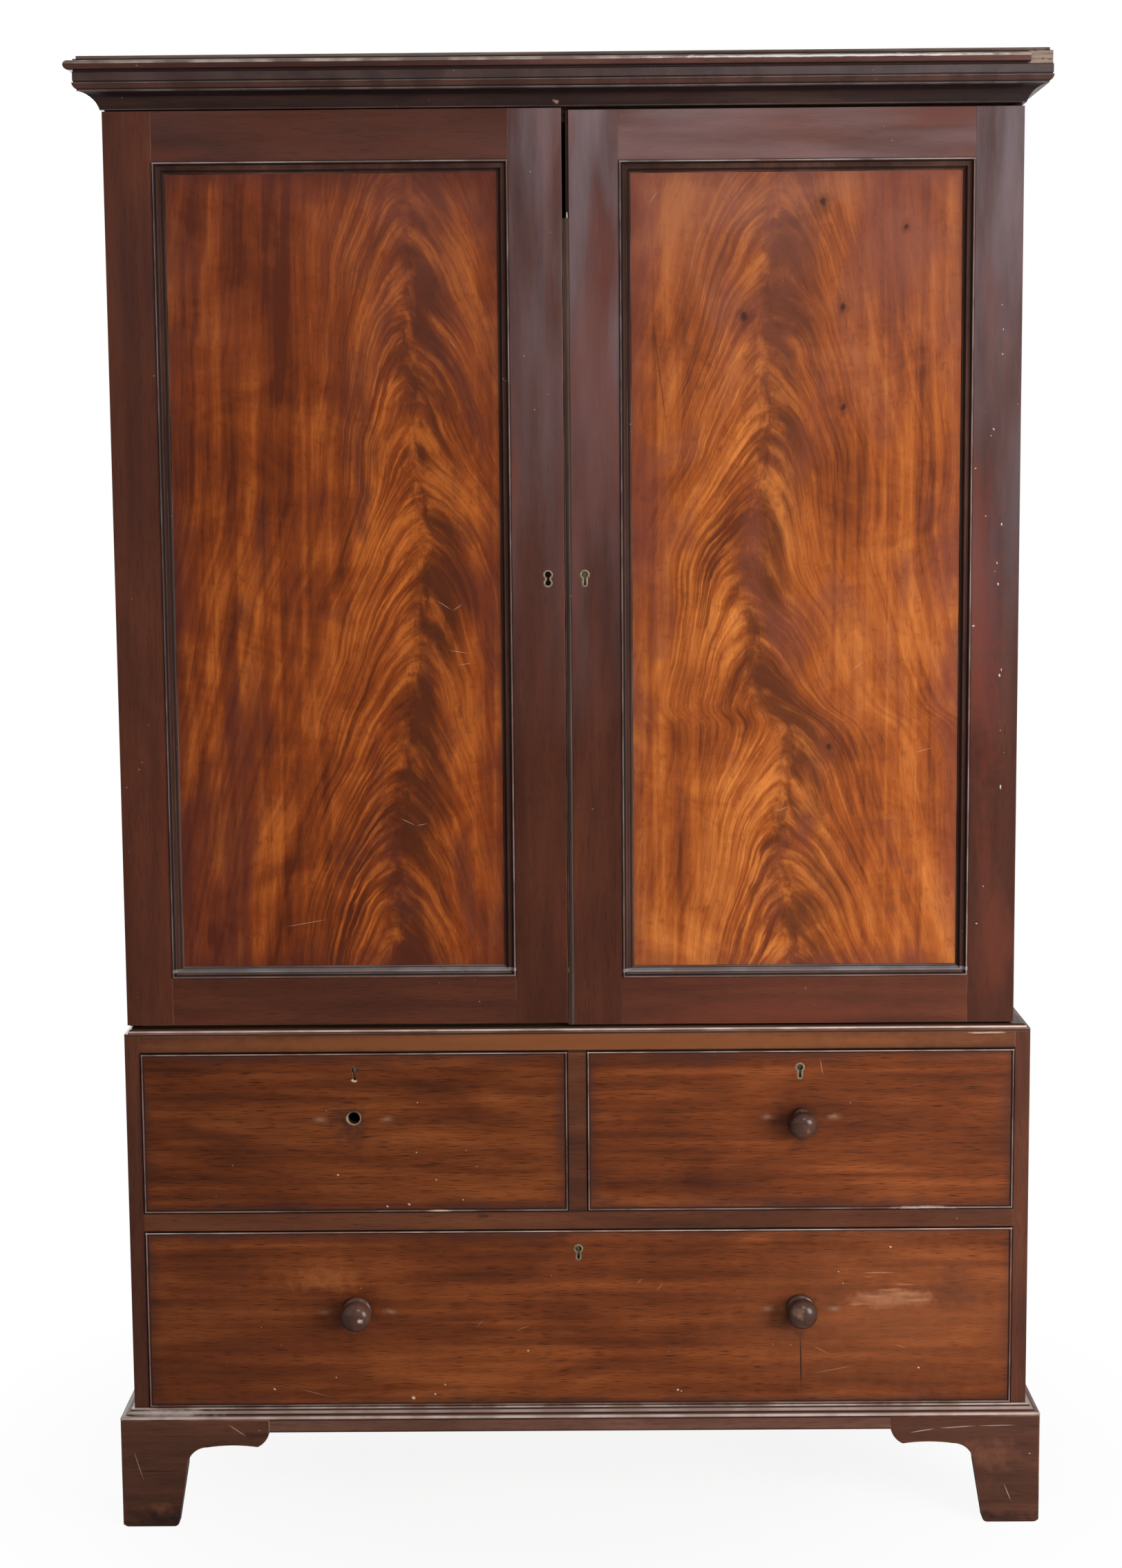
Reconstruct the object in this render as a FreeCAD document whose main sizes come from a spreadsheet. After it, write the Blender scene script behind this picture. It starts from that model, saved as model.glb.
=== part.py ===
import FreeCAD, Part
import math
import os
import re
import Sketcher

# Linen press: a two-door cupboard of sliding trays standing on a chest of three drawers.
#
# Millimetres. +Z is up, the doors face -Y and +X is to the right. The origin lies on the
# floor, under the middle of the whole piece. The cupboard stands a little left of the
# middle of its chest, as its own piece of furniture set on top.

document = FreeCAD.newDocument("LinenPress")
sheet = document.addObject("Spreadsheet::Sheet", "Sizes")

# ---------------------------------------------------------------- driving dimensions
SIZES = {
    # the cupboard above
    "case_width": (1300, "outside width of the cupboard and of its pair of doors"),
    "case_depth": (540, "door faces to the back of the piece"),
    "board_thick": (19, "cupboard sides, top and bottom"),
    "back_thick": (12, "back boards"),
    "back_board_gap": (0.5, "shrinkage gap between two back boards"),
    # the doors
    "door_thick": (22, "door frames"),
    "door_gap": (1, "between the doors' backs and the cupboard's front edges"),
    "door_height": (1312, "height of either door"),
    "door_foot_gap": (6, "under the left door"),
    "door_head_gap": (2, "over the left door"),
    "right_door_drop": (3, "how much lower the sagging right door hangs"),
    "left_door_edge": (2.5, "centre line to the left door's meeting edge"),
    "right_door_edge": (3, "centre line to the right door's meeting edge"),
    "hinge_stile": (68, "visible width of a door's outer stile"),
    "meeting_reach": (78, "centre line to the panel opening of either door"),
    "head_rail": (70, "visible height of a door's top rail"),
    "foot_rail": (69, "visible height of a door's bottom rail"),
    "tenon_thick": (6, "tenons of the door rails"),
    "tenon_length": (45, "how far a tenon enters its stile"),
    "tenon_shoulder": (11, "rail edge to tenon edge"),
    "panel_recess": (9, "frame face down to panel face"),
    "panel_thick": (8, "veneered door panel"),
    "panel_tongue": (7, "how far the panel enters its groove"),
    "bead_width": (17, "moulding round a door panel"),
    "bead_rise": (2.5, "moulding standing proud of the frame"),
    "bead_round": (2.2, "round outer edge of that moulding"),
    "strip_width": (9, "round strip on the right door's meeting edge"),
    "strip_rise": (1.5, "that strip standing proud of the door"),
    "strip_depth": (8, "how deep the strip sits behind the door's face"),
    "strip_round": (6, "radius of the strip's front"),
    "strip_gap": (0.9, "left door's edge to the strip"),
    "strip_break": (150, "length broken away at the strip's top"),
    # hinges
    "leaf_height": (64, "brass butt hinge"),
    "leaf_thick": (2, "hinge leaf and barrel bolt plate"),
    "leaf_gap": (0.4, "between two closed leaves"),
    "case_leaf_width": (16, "leaf on the cupboard side"),
    "door_leaf_width": (24, "leaf on the door"),
    "knuckle_radius": (3, "hinge barrel"),
    "pin_radius": (1.6, "hinge pin"),
    "pin_fit": (0.05, "running fit round the pin"),
    "pin_offset": (0.5, "cupboard side to the pin's axis"),
    "hinge_inset": (170, "door end to the middle of the nearest hinge"),
    # locks, bolts and keyholes
    "door_key_rise": (656, "left door's foot to its keyhole"),
    "door_key_inset": (26.5, "centre line to a door's keyhole"),
    "short_key_drop": (27, "top of a short opening to its keyhole"),
    "long_key_drop": (30, "top of the long opening to its keyhole"),
    "key_head": (4.6, "radius of a keyhole's round head"),
    "key_slot": (3.8, "width of a keyhole's slot"),
    "key_length": (13.8, "keyhole's head centre to its foot centre"),
    "figure_length": (11.8, "the same where head and foot are both round"),
    "figure_foot": (4.1, "radius of that round foot"),
    "rim_wall": (2.2, "brass rim round a keyhole"),
    "rim_thick": (2.6, "how deep the rim is let in"),
    "rim_rise": (0.3, "rim standing proud of the wood"),
    "lock_width": (64, "lock case across its bolt"),
    "lock_length": (44, "lock case along its bolt"),
    "lock_thick": (10, "lock case front to back"),
    "bolt_width": (20, "lock bolt"),
    "bolt_thick": (4.5, "lock bolt"),
    "bolt_length": (26, "lock bolt"),
    "bolt_throw": (10, "travel of every bolt"),
    "slide_fit": (0.3, "clearance round a sliding bolt"),
    "barrel_radius": (4, "rod of the left door's barrel bolts"),
    "barrel_reach": (9, "door's back to the middle of that rod"),
    "barrel_length": (110, "rod of a barrel bolt"),
    "barrel_plate": (80, "plate of a barrel bolt"),
    "barrel_grip": (14, "knob on the rod"),
    # cornice, from the cupboard's top up
    "cornice_seat": (42, "how far the cornice lies back over the cupboard's top"),
    "hollow_foot": (2.5, "reach of the hollow at its foot"),
    "hollow_head": (27, "reach of the hollow at its head"),
    "hollow_rise": (23, "height of the hollow"),
    "hollow_round": (32, "curve of the hollow"),
    "fillet": (2, "small square between two curves"),
    "ovolo_head": (35, "reach of the round moulding at its head"),
    "ovolo_rise": (9, "height of the round moulding"),
    "ovolo_round": (10, "curve of the round moulding"),
    "quirk": (2, "groove over the round moulding"),
    "band_reach": (34, "reach of the flat band"),
    "band_rise": (12, "height of the flat band"),
    "core_rise": (18, "pale frame over the flat band"),
    "core_reach": (33, "reach of that frame"),
    "nosing_reach": (45, "reach of the rounded top edge"),
    "nosing_foot": (2.5, "flat band to the nosing"),
    "nosing_rise": (13, "height of the nosing"),
    "lid_rise": (4.6, "dust board on the cornice"),
    "lid_reach": (29, "reach of the dust board"),
    "front_break": (44, "nosing missing from the right corner along the front"),
    "side_break": (120, "nosing missing from the right corner along the side"),
    # trays inside
    "tray_foot": (25, "bottom board to the lowest tray"),
    "tray_pitch": (315, "one tray to the next"),
    "tray_setback": (24, "cupboard's front edge to a tray's front"),
    "tray_side_gap": (2, "beside a tray"),
    "tray_rear_gap": (6, "behind a tray"),
    "tray_side": (100, "height of a tray's sides and back"),
    "tray_front": (70, "height of a tray's front"),
    "tray_thick": (11, "tray sides, front and back"),
    "tray_bottom": (8, "tray bottom"),
    "bearer_size": (20, "bearers under the trays, square in section"),
    "rest_gap": (0.3, "between a sliding piece and what it rests on"),
    # the chest below
    "base_margin": (28, "how much wider the chest is than the cupboard"),
    "base_shift": (10, "chest's centre line to the right of the cupboard's"),
    "base_step": (8, "chest's face in front of the doors"),
    "chest_side": (22, "chest sides"),
    "foot_height": (164, "floor to the chest"),
    "floor_board": (13.5, "chest's bottom board"),
    "long_opening": (270, "height of the long drawer's opening"),
    "middle_rail": (27, "rail between the drawers"),
    "short_opening": (242, "height of the short drawers' openings"),
    "upper_rail": (25, "rail over the short drawers"),
    "divider": (27, "upright between the short drawers"),
    "rail_depth": (60, "rails and divider, front to back"),
    "dust_board": (10, "board between the drawers"),
    "guide_rise": (40, "guide between the short drawers"),
    "kicker_width": (20, "strips that keep an open drawer from tipping"),
    "waist_board": (9.5, "moulded board that the cupboard stands on"),
    "waist_strip": (60, "moulded edge strips, front to back"),
    "waist_lip": (4, "square lip under the strip's round"),
    "waist_set": (4.5, "edge of the lip to the round"),
    # drawers
    "drawer_gap": (0.9, "round a drawer front"),
    "front_thick": (20, "drawer front"),
    "cockbead": (3, "thickness of the beads round a drawer front"),
    "cockbead_rise": (2.5, "beads standing proud of the front"),
    "cockbead_depth": (9, "beads front to back"),
    "drawer_side": (10, "drawer sides and back"),
    "drawer_rear_gap": (36, "behind a drawer"),
    "drawer_fall": (12, "drawer sides lower than the front's top edge"),
    "drawer_bottom": (8, "drawer bottom"),
    "bottom_rise": (6, "drawer bottom above the sides' lower edges"),
    "knob_stray": (1.25, "short drawer's middle out to its knob"),
    "short_knob_drop": (99.5, "top of a short opening to its knob"),
    "long_knob_drop": (122.5, "top of the long opening to its knobs"),
    "key_stray": (0.75, "short drawer's middle in to its keyhole"),
    # knobs
    "knob_reach": (45, "knob in front of the drawer"),
    "knob_radius": (21.5, "widest part of the knob"),
    "knob_waist": (11.5, "neck of the knob"),
    "knob_foot": (20.5, "foot of the knob"),
    "foot_thick": (3, "square edge of that foot"),
    "knob_neck": (12, "drawer to the neck"),
    "knob_widest": (31, "drawer to the widest part"),
    "knob_edge": (10.5, "curve of the knob's edge"),
    "knob_dome": (29.5, "curve of the knob's face"),
    "knob_hole": (9, "radius of the hole bored for a knob"),
    "spigot_fit": (0.1, "round the knob's spigot"),
    # plinth and feet
    "plinth_reach": (19, "plinth moulding outside the chest"),
    "plinth_nose": (5, "height of the moulding's round nose"),
    "plinth_set": (4, "reach of the moulding at its top"),
    "plinth_hollow": (10, "curve of the moulding's hollow"),
    "bracket_thick": (20, "bracket feet and plinth rail"),
    "bracket_set": (0.5, "moulding's nose past the brackets"),
    "apron_height": (19.5, "plinth rail between the brackets"),
    "bracket_reach": (221, "length of a bracket along the plinth"),
    "bracket_drop": (42, "depth of a bracket's wing"),
    "wing_arch": (250, "slight hollow under the wing"),
    "lobe": (18, "round end of the wing"),
    "lobe_round": (32, "curve of that end"),
    "leg_head": (98, "width of the foot where it leaves the bracket"),
    "leg_foot": (84, "width of the foot on the floor"),
    "leg_curve": (30, "quarter round between wing and foot"),
    "leg_wear": (8, "worn corners of the foot"),
    "glue_block": (38, "block glued in the corner behind a foot"),
    "block_rise": (12, "floor to the glue block"),
    "rear_board": (110, "board across the back of a rear foot"),
}
for row, (name, (size, meaning)) in enumerate(SIZES.items(), start=1):
    sheet.set(f"A{row}", meaning)
    sheet.set(f"B{row}", str(size))
    sheet.setAlias(f"B{row}", name)
document.recompute()

# ------------------------------------------------- places worked out from those sizes
PLACES = {
    # along X
    "half_case": "case_width / 2",
    "inner_case": "half_case - board_thick",
    "half_base": "(case_width + base_margin) / 2",
    "base_left": "base_shift - half_base",
    "base_right": "base_shift + half_base",
    "inner_left": "base_left + chest_side",
    "inner_right": "base_right - chest_side",
    "short_middle": "(half_base - chest_side + divider / 2) / 2",
    "knob_span": "short_middle + knob_stray",
    "short_key_span": "short_middle - key_stray",
    "divider_left": "base_shift - divider / 2",
    "divider_right": "base_shift + divider / 2",
    "strip_left": "strip_gap - left_door_edge",
    "strip_right": "strip_left + strip_width",
    "barrel_x": "-(left_door_edge + meeting_reach) / 2",
    # along Y, the depth of the piece being shared out about the origin
    "back_y": "(case_depth + base_step + knob_reach) / 2",
    "face_y": "back_y - case_depth",
    "base_y": "face_y - base_step",
    "door_back_y": "face_y + door_thick",
    "hinge_y": "door_back_y + door_gap / 2",
    "case_front_y": "door_back_y + door_gap",
    "barrel_y": "door_back_y + barrel_reach",
    "door_bolt_y": "door_back_y - lock_thick / 2",
    "panel_y": "face_y + panel_recess",
    "panel_back_y": "panel_y + panel_thick",
    "inside_back_y": "back_y - back_thick",
    "tray_front_y": "case_front_y + tray_setback",
    "tray_back_y": "inside_back_y - tray_rear_gap",
    "front_back_y": "base_y + front_thick",
    "drawer_bolt_y": "front_back_y - lock_thick / 2",
    "rail_back_y": "base_y + rail_depth",
    "drawer_end_y": "inside_back_y - drawer_rear_gap",
    # up Z
    "long_floor": "foot_height + floor_board",
    "long_top": "long_floor + long_opening",
    "short_floor": "long_top + middle_rail",
    "short_top": "short_floor + short_opening",
    "chest_top": "short_top + upper_rail",
    "waist_top": "chest_top + waist_board",
    "case_floor_top": "waist_top + board_thick",
    "left_door_z": "waist_top + door_foot_gap",
    "right_door_z": "left_door_z - right_door_drop",
    "case_top": "left_door_z + door_height + door_head_gap",
    "case_ceiling": "case_top - board_thick",
    "door_key_z": "left_door_z + door_key_rise",
    "band_z": "hollow_rise + fillet + ovolo_rise + quirk",
    "cornice_rise": "band_z + band_rise",
    "core_z": "case_top + cornice_rise",
    "lid_z": "core_z + core_rise",
    "wing_z": "foot_height - bracket_drop",
    "apron_z": "foot_height - apron_height",
    # brackets: how far their outer and inner faces stand outside the chest
    "bracket_face": "plinth_reach - bracket_set",
    "bracket_back": "bracket_face - bracket_thick",
    "base_depth": "back_y - base_y",
}


def spell_out(words):
    """Turn a length written in the words above into an expression on the sheet."""
    def meaning(match):
        word = match.group(0)
        if word in PLACES:
            return "(" + spell_out(PLACES[word]) + ")"
        return "Sizes." + word if word in SIZES else word
    return re.sub(r"[a-z][a-z_]*[a-z]", meaning, str(words))


def mm(words):
    """The same length as a number."""
    return float(sheet.evalExpression(spell_out(words)))


def bind(item, field, words):
    item.setExpression(field, spell_out(words))


ACROSS = FreeCAD.Vector(1, 0, 0)
INWARD = FreeCAD.Vector(0, 1, 0)
UPRIGHT = FreeCAD.Vector(0, 0, 1)
AS_DRAWN = FreeCAD.Rotation()
FORWARDS = FreeCAD.Rotation(ACROSS, 90)  # what was drawn upright points to the front
TO_LEFT_SIDE = FreeCAD.Rotation(UPRIGHT, -90)
TO_RIGHT_SIDE = FreeCAD.Rotation(UPRIGHT, 90)


def put(item, place, rotation=AS_DRAWN):
    """Turn an item and bind its place to three lengths."""
    item.Placement = FreeCAD.Placement(FreeCAD.Vector(), rotation)
    for letter, words in zip("xyz", place):
        bind(item, f"Placement.Base.{letter}", words)
    return item


# ------------------------------------------------------------------- ways of working
SAW = 300  # half the size of the block that saws a mitre, larger than any section
pieces = []


def new_body(label):
    body = document.addObject("PartDesign::Body", label)
    body.Label = label
    return body


def keep(item):
    """Count an item among the pieces of the press."""
    pieces.append(item)
    return item


def group(label, members):
    """One piece name for several separate solids."""
    together = document.addObject("Part::Compound", label)
    together.Label = label
    together.Links = members
    return keep(together)


def block(body, low, high, kind="PartDesign::AdditiveBox"):
    """A squared block of wood or metal between two corners."""
    part = body.newObject(kind, "Block")
    for side, start, end in zip(("Length", "Width", "Height"), low, high):
        bind(part, side, f"({end}) - ({start})")
    put(part, low)
    return body


def trench(body, low, high):
    """Cut a squared recess, groove, mortise or slot between two corners."""
    return block(body, low, high, "PartDesign::SubtractiveBox")


def board(label, low, high):
    return block(new_body(label), low, high)


def rod(body, start, radius, length, rotation=AS_DRAWN, kind="PartDesign::AdditiveCylinder"):
    """A round rod that runs up from its start, unless it is turned."""
    part = body.newObject(kind, "Rod")
    bind(part, "Radius", radius)
    bind(part, "Height", length)
    put(part, start, rotation)
    return body


def bore(body, start, radius, length, rotation=AS_DRAWN):
    return rod(body, start, radius, length, rotation, "PartDesign::SubtractiveCylinder")


def outline(body, plane, corners, offset="0"):
    """A closed sketch. A corner's third word is the radius of the arc that leads to it.

    The arc turns left of its way, or right where the radius has a minus sign.
    """
    sketch = body.newObject("Sketcher::SketchObject", "Outline")
    origin_planes = {item.Role: item for item in body.Origin.OriginFeatures}
    sketch.AttachmentSupport = (origin_planes[plane], [""])
    sketch.MapMode = "FlatFace"
    bind(sketch, "AttachmentOffset.Base.z", offset)
    spots = [FreeCAD.Vector(mm(corner[0]), mm(corner[1]), 0) for corner in corners]
    ends = []
    for index, corner in enumerate(corners):
        before, here = spots[index - 1], spots[index]
        if len(corner) == 2:
            line = sketch.addGeometry(Part.LineSegment(before, here))
            ends.append(((line, 1), (line, 2)))
            continue
        radius = mm(corner[2])
        chord = here - before
        left = FreeCAD.Vector(-chord.y, chord.x, 0) / chord.Length
        depth = math.sqrt(max(radius ** 2 - chord.Length ** 2 / 4, 0))
        centre = (before + here) * 0.5 + left * math.copysign(depth, radius)
        angles = [math.atan2(spot.y - centre.y, spot.x - centre.x) for spot in (before, here)]
        if radius < 0:
            angles.reverse()
        if angles[1] < angles[0]:
            angles[1] += 2 * math.pi
        circle = Part.Circle(centre, UPRIGHT, abs(radius))
        arc = sketch.addGeometry(Part.ArcOfCircle(circle, *angles))
        ends.append(((arc, 1), (arc, 2)) if radius > 0 else ((arc, 2), (arc, 1)))
        dimension = sketch.addConstraint(Sketcher.Constraint("Radius", arc, abs(radius)))
        sketch.renameConstraint(dimension, f"radius_{index}")
        bind(sketch, f"Constraints.radius_{index}", corner[2].lstrip("-"))
    for index, (corner, spot) in enumerate(zip(corners, spots)):
        finish = ends[index][1]
        start = ends[(index + 1) % len(ends)][0]
        sketch.addConstraint(Sketcher.Constraint("Coincident", *finish, *start))
        for letter, words, number in zip("xy", corner, spot):
            kind = "Distance" + letter.upper()
            dimension = sketch.addConstraint(Sketcher.Constraint(kind, *finish, number))
            sketch.renameConstraint(dimension, f"{letter}_{index}")
            bind(sketch, f"Constraints.{letter}_{index}", words)
    return sketch


def padded(label, plane, corners, offset, length):
    """A piece of one section: its outline, given a length off its plane."""
    body = new_body(label)
    profile = outline(body, plane, corners, offset)
    pad = body.newObject("PartDesign::Pad", "Length")
    pad.Profile = profile
    bind(pad, "Length", length)
    return body


def mirrored(corners):
    """The same outline seen from behind."""
    result = []
    for across, up, *curve in corners:
        turned = [word[1:] if word.startswith("-") else f"-({word})" for word in curve]
        result.append((f"-({across})", up, *turned))
    return result


def moulding(label, section, low, high):
    """A moulding that runs along X, its section given as (outwards, upwards)."""
    return padded(label, "YZ_Plane", mirrored(section), low, f"({high}) - ({low})")


def mitre(body, spot, degrees):
    """Saw a moulding's end off; degrees is where the waste lies, seen from above."""
    slope = math.radians(degrees)
    saw = body.newObject("PartDesign::SubtractiveBox", "Mitre")
    for side in ("Length", "Width", "Height"):
        bind(saw, side, 2 * SAW)
    start = (f"{spot} + ({SAW * math.sin(slope)})", -SAW * math.cos(slope), -SAW)
    put(saw, start, FreeCAD.Rotation(UPRIGHT, degrees))
    return body


def mitred_frame(label, section, face, low_x, high_x, low_z, high_z):
    """Four mitred strips round an opening, each drawn as the top one and turned round.

    The section is given as (in from the opening's edge, forward of the face).
    """
    middle_x = f"(({low_x}) + ({high_x})) / 2"
    middle_z = f"(({low_z}) + ({high_z})) / 2"
    half_wide = f"(({high_x}) - ({low_x})) / 2"
    half_high = f"(({high_z}) - ({low_z})) / 2"
    strips = []
    for name, half_run, place, quarter in (
        ("head", half_wide, (middle_x, face, high_z), 0),
        ("right", half_high, (high_x, face, middle_z), 90),
        ("foot", half_wide, (middle_x, face, low_z), 180),
        ("left", half_high, (low_x, face, middle_z), 270),
    ):
        strip = moulding(f"{label}_{name}", section, f"-({half_run})", half_run)
        mitre(strip, half_run, -45)
        mitre(strip, f"-({half_run})", -135)
        strips.append(put(strip, place, FreeCAD.Rotation(INWARD, quarter).multiply(FORWARDS)))
    return strips


def outwards(side, near, far):
    """A stretch of X measured in from one side's hinge pin, given low end first."""
    pin = "half_case + pin_offset"
    if side == "left":
        return f"-({pin}) + {near}", f"-({pin}) + {far}"
    return f"{pin} - ({far})", f"{pin} - ({near})"


# Each keyhole as (head centre to foot centre, radius of the foot).
PLAIN_KEYHOLE = ("key_length", "key_slot / 2")
FIGURE_KEYHOLE = ("figure_length", "figure_foot")


def keyhole(body, shape, place, depth, grow="0", cut=True):
    """A round head over a slot with a round foot, running back from a place on a face."""
    x, y, z = place
    length, foot_radius = shape
    make_rod = bore if cut else rod
    make_block = trench if cut else block
    end_y = f"{y} + {depth}"
    foot_z = f"{z} - {length}"
    half_slot = f"(key_slot / 2 + {grow})"
    make_rod(body, (x, end_y, z), f"key_head + {grow}", depth, FORWARDS)
    make_block(body, (f"{x} - {half_slot}", y, foot_z), (f"{x} + {half_slot}", end_y, z))
    make_rod(body, (x, end_y, foot_z), f"{foot_radius} + {grow}", depth, FORWARDS)
    return body


def key_rim(label, shape, place):
    """Brass rim let in round a keyhole."""
    x, y, z = place
    front = (x, f"{y} - rim_rise", z)
    depth = "(rim_thick + rim_rise)"
    rim = keyhole(new_body(label), shape, front, depth, "rim_wall", cut=False)
    return keyhole(rim, shape, front, depth)


def cut_keyhole(body, shape, place, depth, rimmed=True):
    keyhole(body, shape, place, depth)
    if rimmed:
        keyhole(body, shape, place, "rim_thick", "rim_wall")


# ----------------------------------------------------------------- the cupboard's case
def hinge_heights(door_z):
    """Middles of a door's three hinges."""
    return (
        f"{door_z} + hinge_inset",
        f"{door_z} + door_height / 2",
        f"{door_z} + door_height - hinge_inset",
    )


for side in ("left", "right"):
    low_x, high_x = outwards(side, "pin_offset", "pin_offset + board_thick")
    case_side = board(
        f"case_side_{side}",
        (low_x, "case_front_y", "waist_top"),
        (high_x, "back_y", "case_top"),
    )
    for middle in hinge_heights(f"{side}_door_z"):
        bottom = f"{middle} - leaf_height / 2 - rest_gap"
        top = f"{middle} + leaf_height / 2 + rest_gap"
        low_x, high_x = outwards(side, "0", "case_leaf_width")
        trench(case_side, (low_x, "hinge_y", bottom), (high_x, "hinge_y + leaf_gap / 2 + leaf_thick", top))
        low_x, high_x = outwards(side, "0", "knuckle_radius + rest_gap")
        trench(case_side, (low_x, "hinge_y", bottom), (high_x, "hinge_y + knuckle_radius + rest_gap", top))
    keep(case_side)

case_top_board = board(
    "case_top",
    ("-inner_case", "case_front_y", "case_ceiling"),
    ("inner_case", "inside_back_y", "case_top"),
)
case_bottom_board = board(
    "case_bottom",
    ("-inner_case", "case_front_y", "waist_top"),
    ("inner_case", "inside_back_y", "case_floor_top"),
)
# The left door's barrel bolts shoot into these two boards.
socket_depth = "bolt_throw + rest_gap"
for shelf, socket_z in (
    (case_top_board, "case_ceiling"),
    (case_bottom_board, f"case_floor_top - ({socket_depth})"),
):
    bore(shelf, ("barrel_x", "barrel_y", socket_z), "barrel_radius + slide_fit", socket_depth)
    keep(shelf)

BACK_BOARDS = 5


def back_boards(label, low_x, high_x, low_z, high_z):
    """Upright boards side by side, a shrinkage gap between them."""
    boards = []
    pitch = f"(({high_x}) - ({low_x}) + back_board_gap) / {BACK_BOARDS}"
    for index in range(BACK_BOARDS):
        start = f"{low_x} + {index} * {pitch}"
        boards.append(board(
            f"{label}_{index + 1}",
            (start, "inside_back_y", low_z),
            (f"{start} + {pitch} - back_board_gap", "back_y", high_z),
        ))
    return group(label, boards)


back_boards("case_back", "-inner_case", "inner_case", "waist_top", "case_top")

# ------------------------------------------------------------------ trays and bearers
TRAYS = 4
tray_half = "(inner_case - tray_side_gap)"
tray_inner = "(inner_case - tray_side_gap - tray_thick)"
bearers = []
for number in range(1, TRAYS + 1):
    tray_z = f"(case_floor_top + tray_foot + {number - 1} * tray_pitch)"
    for side, low_x, high_x in (
        ("left", "-inner_case", "-inner_case + bearer_size"),
        ("right", "inner_case - bearer_size", "inner_case"),
    ):
        bearers.append(board(
            f"bearer_{number}_{side}",
            (low_x, "tray_front_y", f"{tray_z} - bearer_size - rest_gap"),
            (high_x, "inside_back_y", f"{tray_z} - rest_gap"),
        ))
    group(f"linen_tray_{number}", [
        board(f"tray_{number}_left_side", (f"-{tray_half}", "tray_front_y", tray_z),
              (f"-{tray_inner}", "tray_back_y", f"{tray_z} + tray_side")),
        board(f"tray_{number}_right_side", (tray_inner, "tray_front_y", tray_z),
              (tray_half, "tray_back_y", f"{tray_z} + tray_side")),
        board(f"tray_{number}_front", (f"-{tray_inner}", "tray_front_y", tray_z),
              (tray_inner, "tray_front_y + tray_thick", f"{tray_z} + tray_front")),
        board(f"tray_{number}_back", (f"-{tray_inner}", "tray_back_y - tray_thick", tray_z),
              (tray_inner, "tray_back_y", f"{tray_z} + tray_side")),
        board(f"tray_{number}_bottom", (f"-{tray_inner}", "tray_front_y + tray_thick", tray_z),
              (tray_inner, "tray_back_y - tray_thick", f"{tray_z} + tray_bottom")),
    ])
group("tray_bearers", bearers)

# ---------------------------------------------------------------------------- cornice
cornice_section = (
    ("-cornice_seat", "0"),
    ("hollow_foot", "0"),
    ("hollow_foot", "fillet / 2"),
    ("hollow_head", "hollow_rise", "-hollow_round"),
    ("hollow_head + fillet", "hollow_rise"),
    ("hollow_head + fillet", "hollow_rise + fillet"),
    ("ovolo_head", "hollow_rise + fillet + ovolo_rise", "ovolo_round"),
    ("ovolo_head - quirk", "hollow_rise + fillet + ovolo_rise"),
    ("ovolo_head - quirk", "band_z"),
    ("band_reach", "band_z"),
    ("band_reach", "cornice_rise"),
    ("-cornice_seat", "cornice_rise"),
)
nosing_section = (
    ("core_reach", "nosing_foot"),
    ("nosing_reach - nosing_rise / 2", "nosing_foot"),
    ("nosing_reach", "nosing_foot + nosing_rise / 2", "nosing_rise / 2"),
    ("nosing_reach - nosing_rise / 2", "nosing_foot + nosing_rise", "nosing_rise / 2"),
    ("core_reach", "nosing_foot + nosing_rise"),
)


def three_strips(label, section, reach, corner_y, left_x, right_x, depth, z):
    """A moulding round the front and both sides, mitred at the two front corners.

    Along the front the run is drawn about the origin; a left strip ends and a right
    strip begins at its own origin, which is put on the corner.
    """
    front = moulding(f"{label}_front", section, f"{left_x} - {reach}", f"{right_x} + {reach}")
    mitre(front, right_x, 45)
    mitre(front, left_x, 135)
    left = mitre(moulding(f"{label}_left", section, f"-({depth})", reach), "0", 45)
    right = mitre(moulding(f"{label}_right", section, f"-({reach})", depth), "0", 135)
    return (
        put(front, ("0", corner_y, z)),
        put(left, (left_x, corner_y, z), TO_LEFT_SIDE),
        put(right, (right_x, corner_y, z), TO_RIGHT_SIDE),
    )


for strip in three_strips(
    "cornice", cornice_section, "ovolo_head", "face_y", "-half_case", "half_case", "case_depth", "case_top"
):
    keep(strip)

# The nosing is lost at the right front corner, so two of its strips end short of it.
nosing_front = moulding(
    "nosing_front", nosing_section, "-half_case - nosing_reach", "half_case + nosing_reach - front_break"
)
nosing_left = moulding("nosing_left", nosing_section, "-case_depth", "nosing_reach")
nosing_right = moulding("nosing_right", nosing_section, "side_break - nosing_reach", "case_depth")
group("cornice_nosing", [
    put(mitre(nosing_front, "-half_case", 135), ("0", "face_y", "core_z")),
    put(mitre(nosing_left, "0", 45), ("-half_case", "face_y", "core_z"), TO_LEFT_SIDE),
    put(nosing_right, ("half_case", "face_y", "core_z"), TO_RIGHT_SIDE),
])

core_out = "(half_case + core_reach)"
core_in = "(half_case - cornice_seat)"
lid_out = "(half_case + lid_reach)"
core_front = "face_y - core_reach"
core_rail = "face_y + cornice_seat"
group("cornice_core", [
    board("core_front", (f"-{core_out}", core_front, "core_z"), (core_out, core_rail, "lid_z")),
    board("core_left", (f"-{core_out}", core_rail, "core_z"), (f"-{core_in}", "back_y", "lid_z")),
    board("core_right", (core_in, core_rail, "core_z"), (core_out, "back_y", "lid_z")),
    board("core_back", (f"-{core_in}", "back_y - cornice_seat", "case_top"), (core_in, "back_y", "lid_z")),
    board("core_lid", (f"-{lid_out}", "face_y - lid_reach", "lid_z"),
          (lid_out, "back_y", "lid_z + lid_rise")),
])

# ------------------------------------------------------------------------------ doors
KNUCKLES = 5


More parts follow.
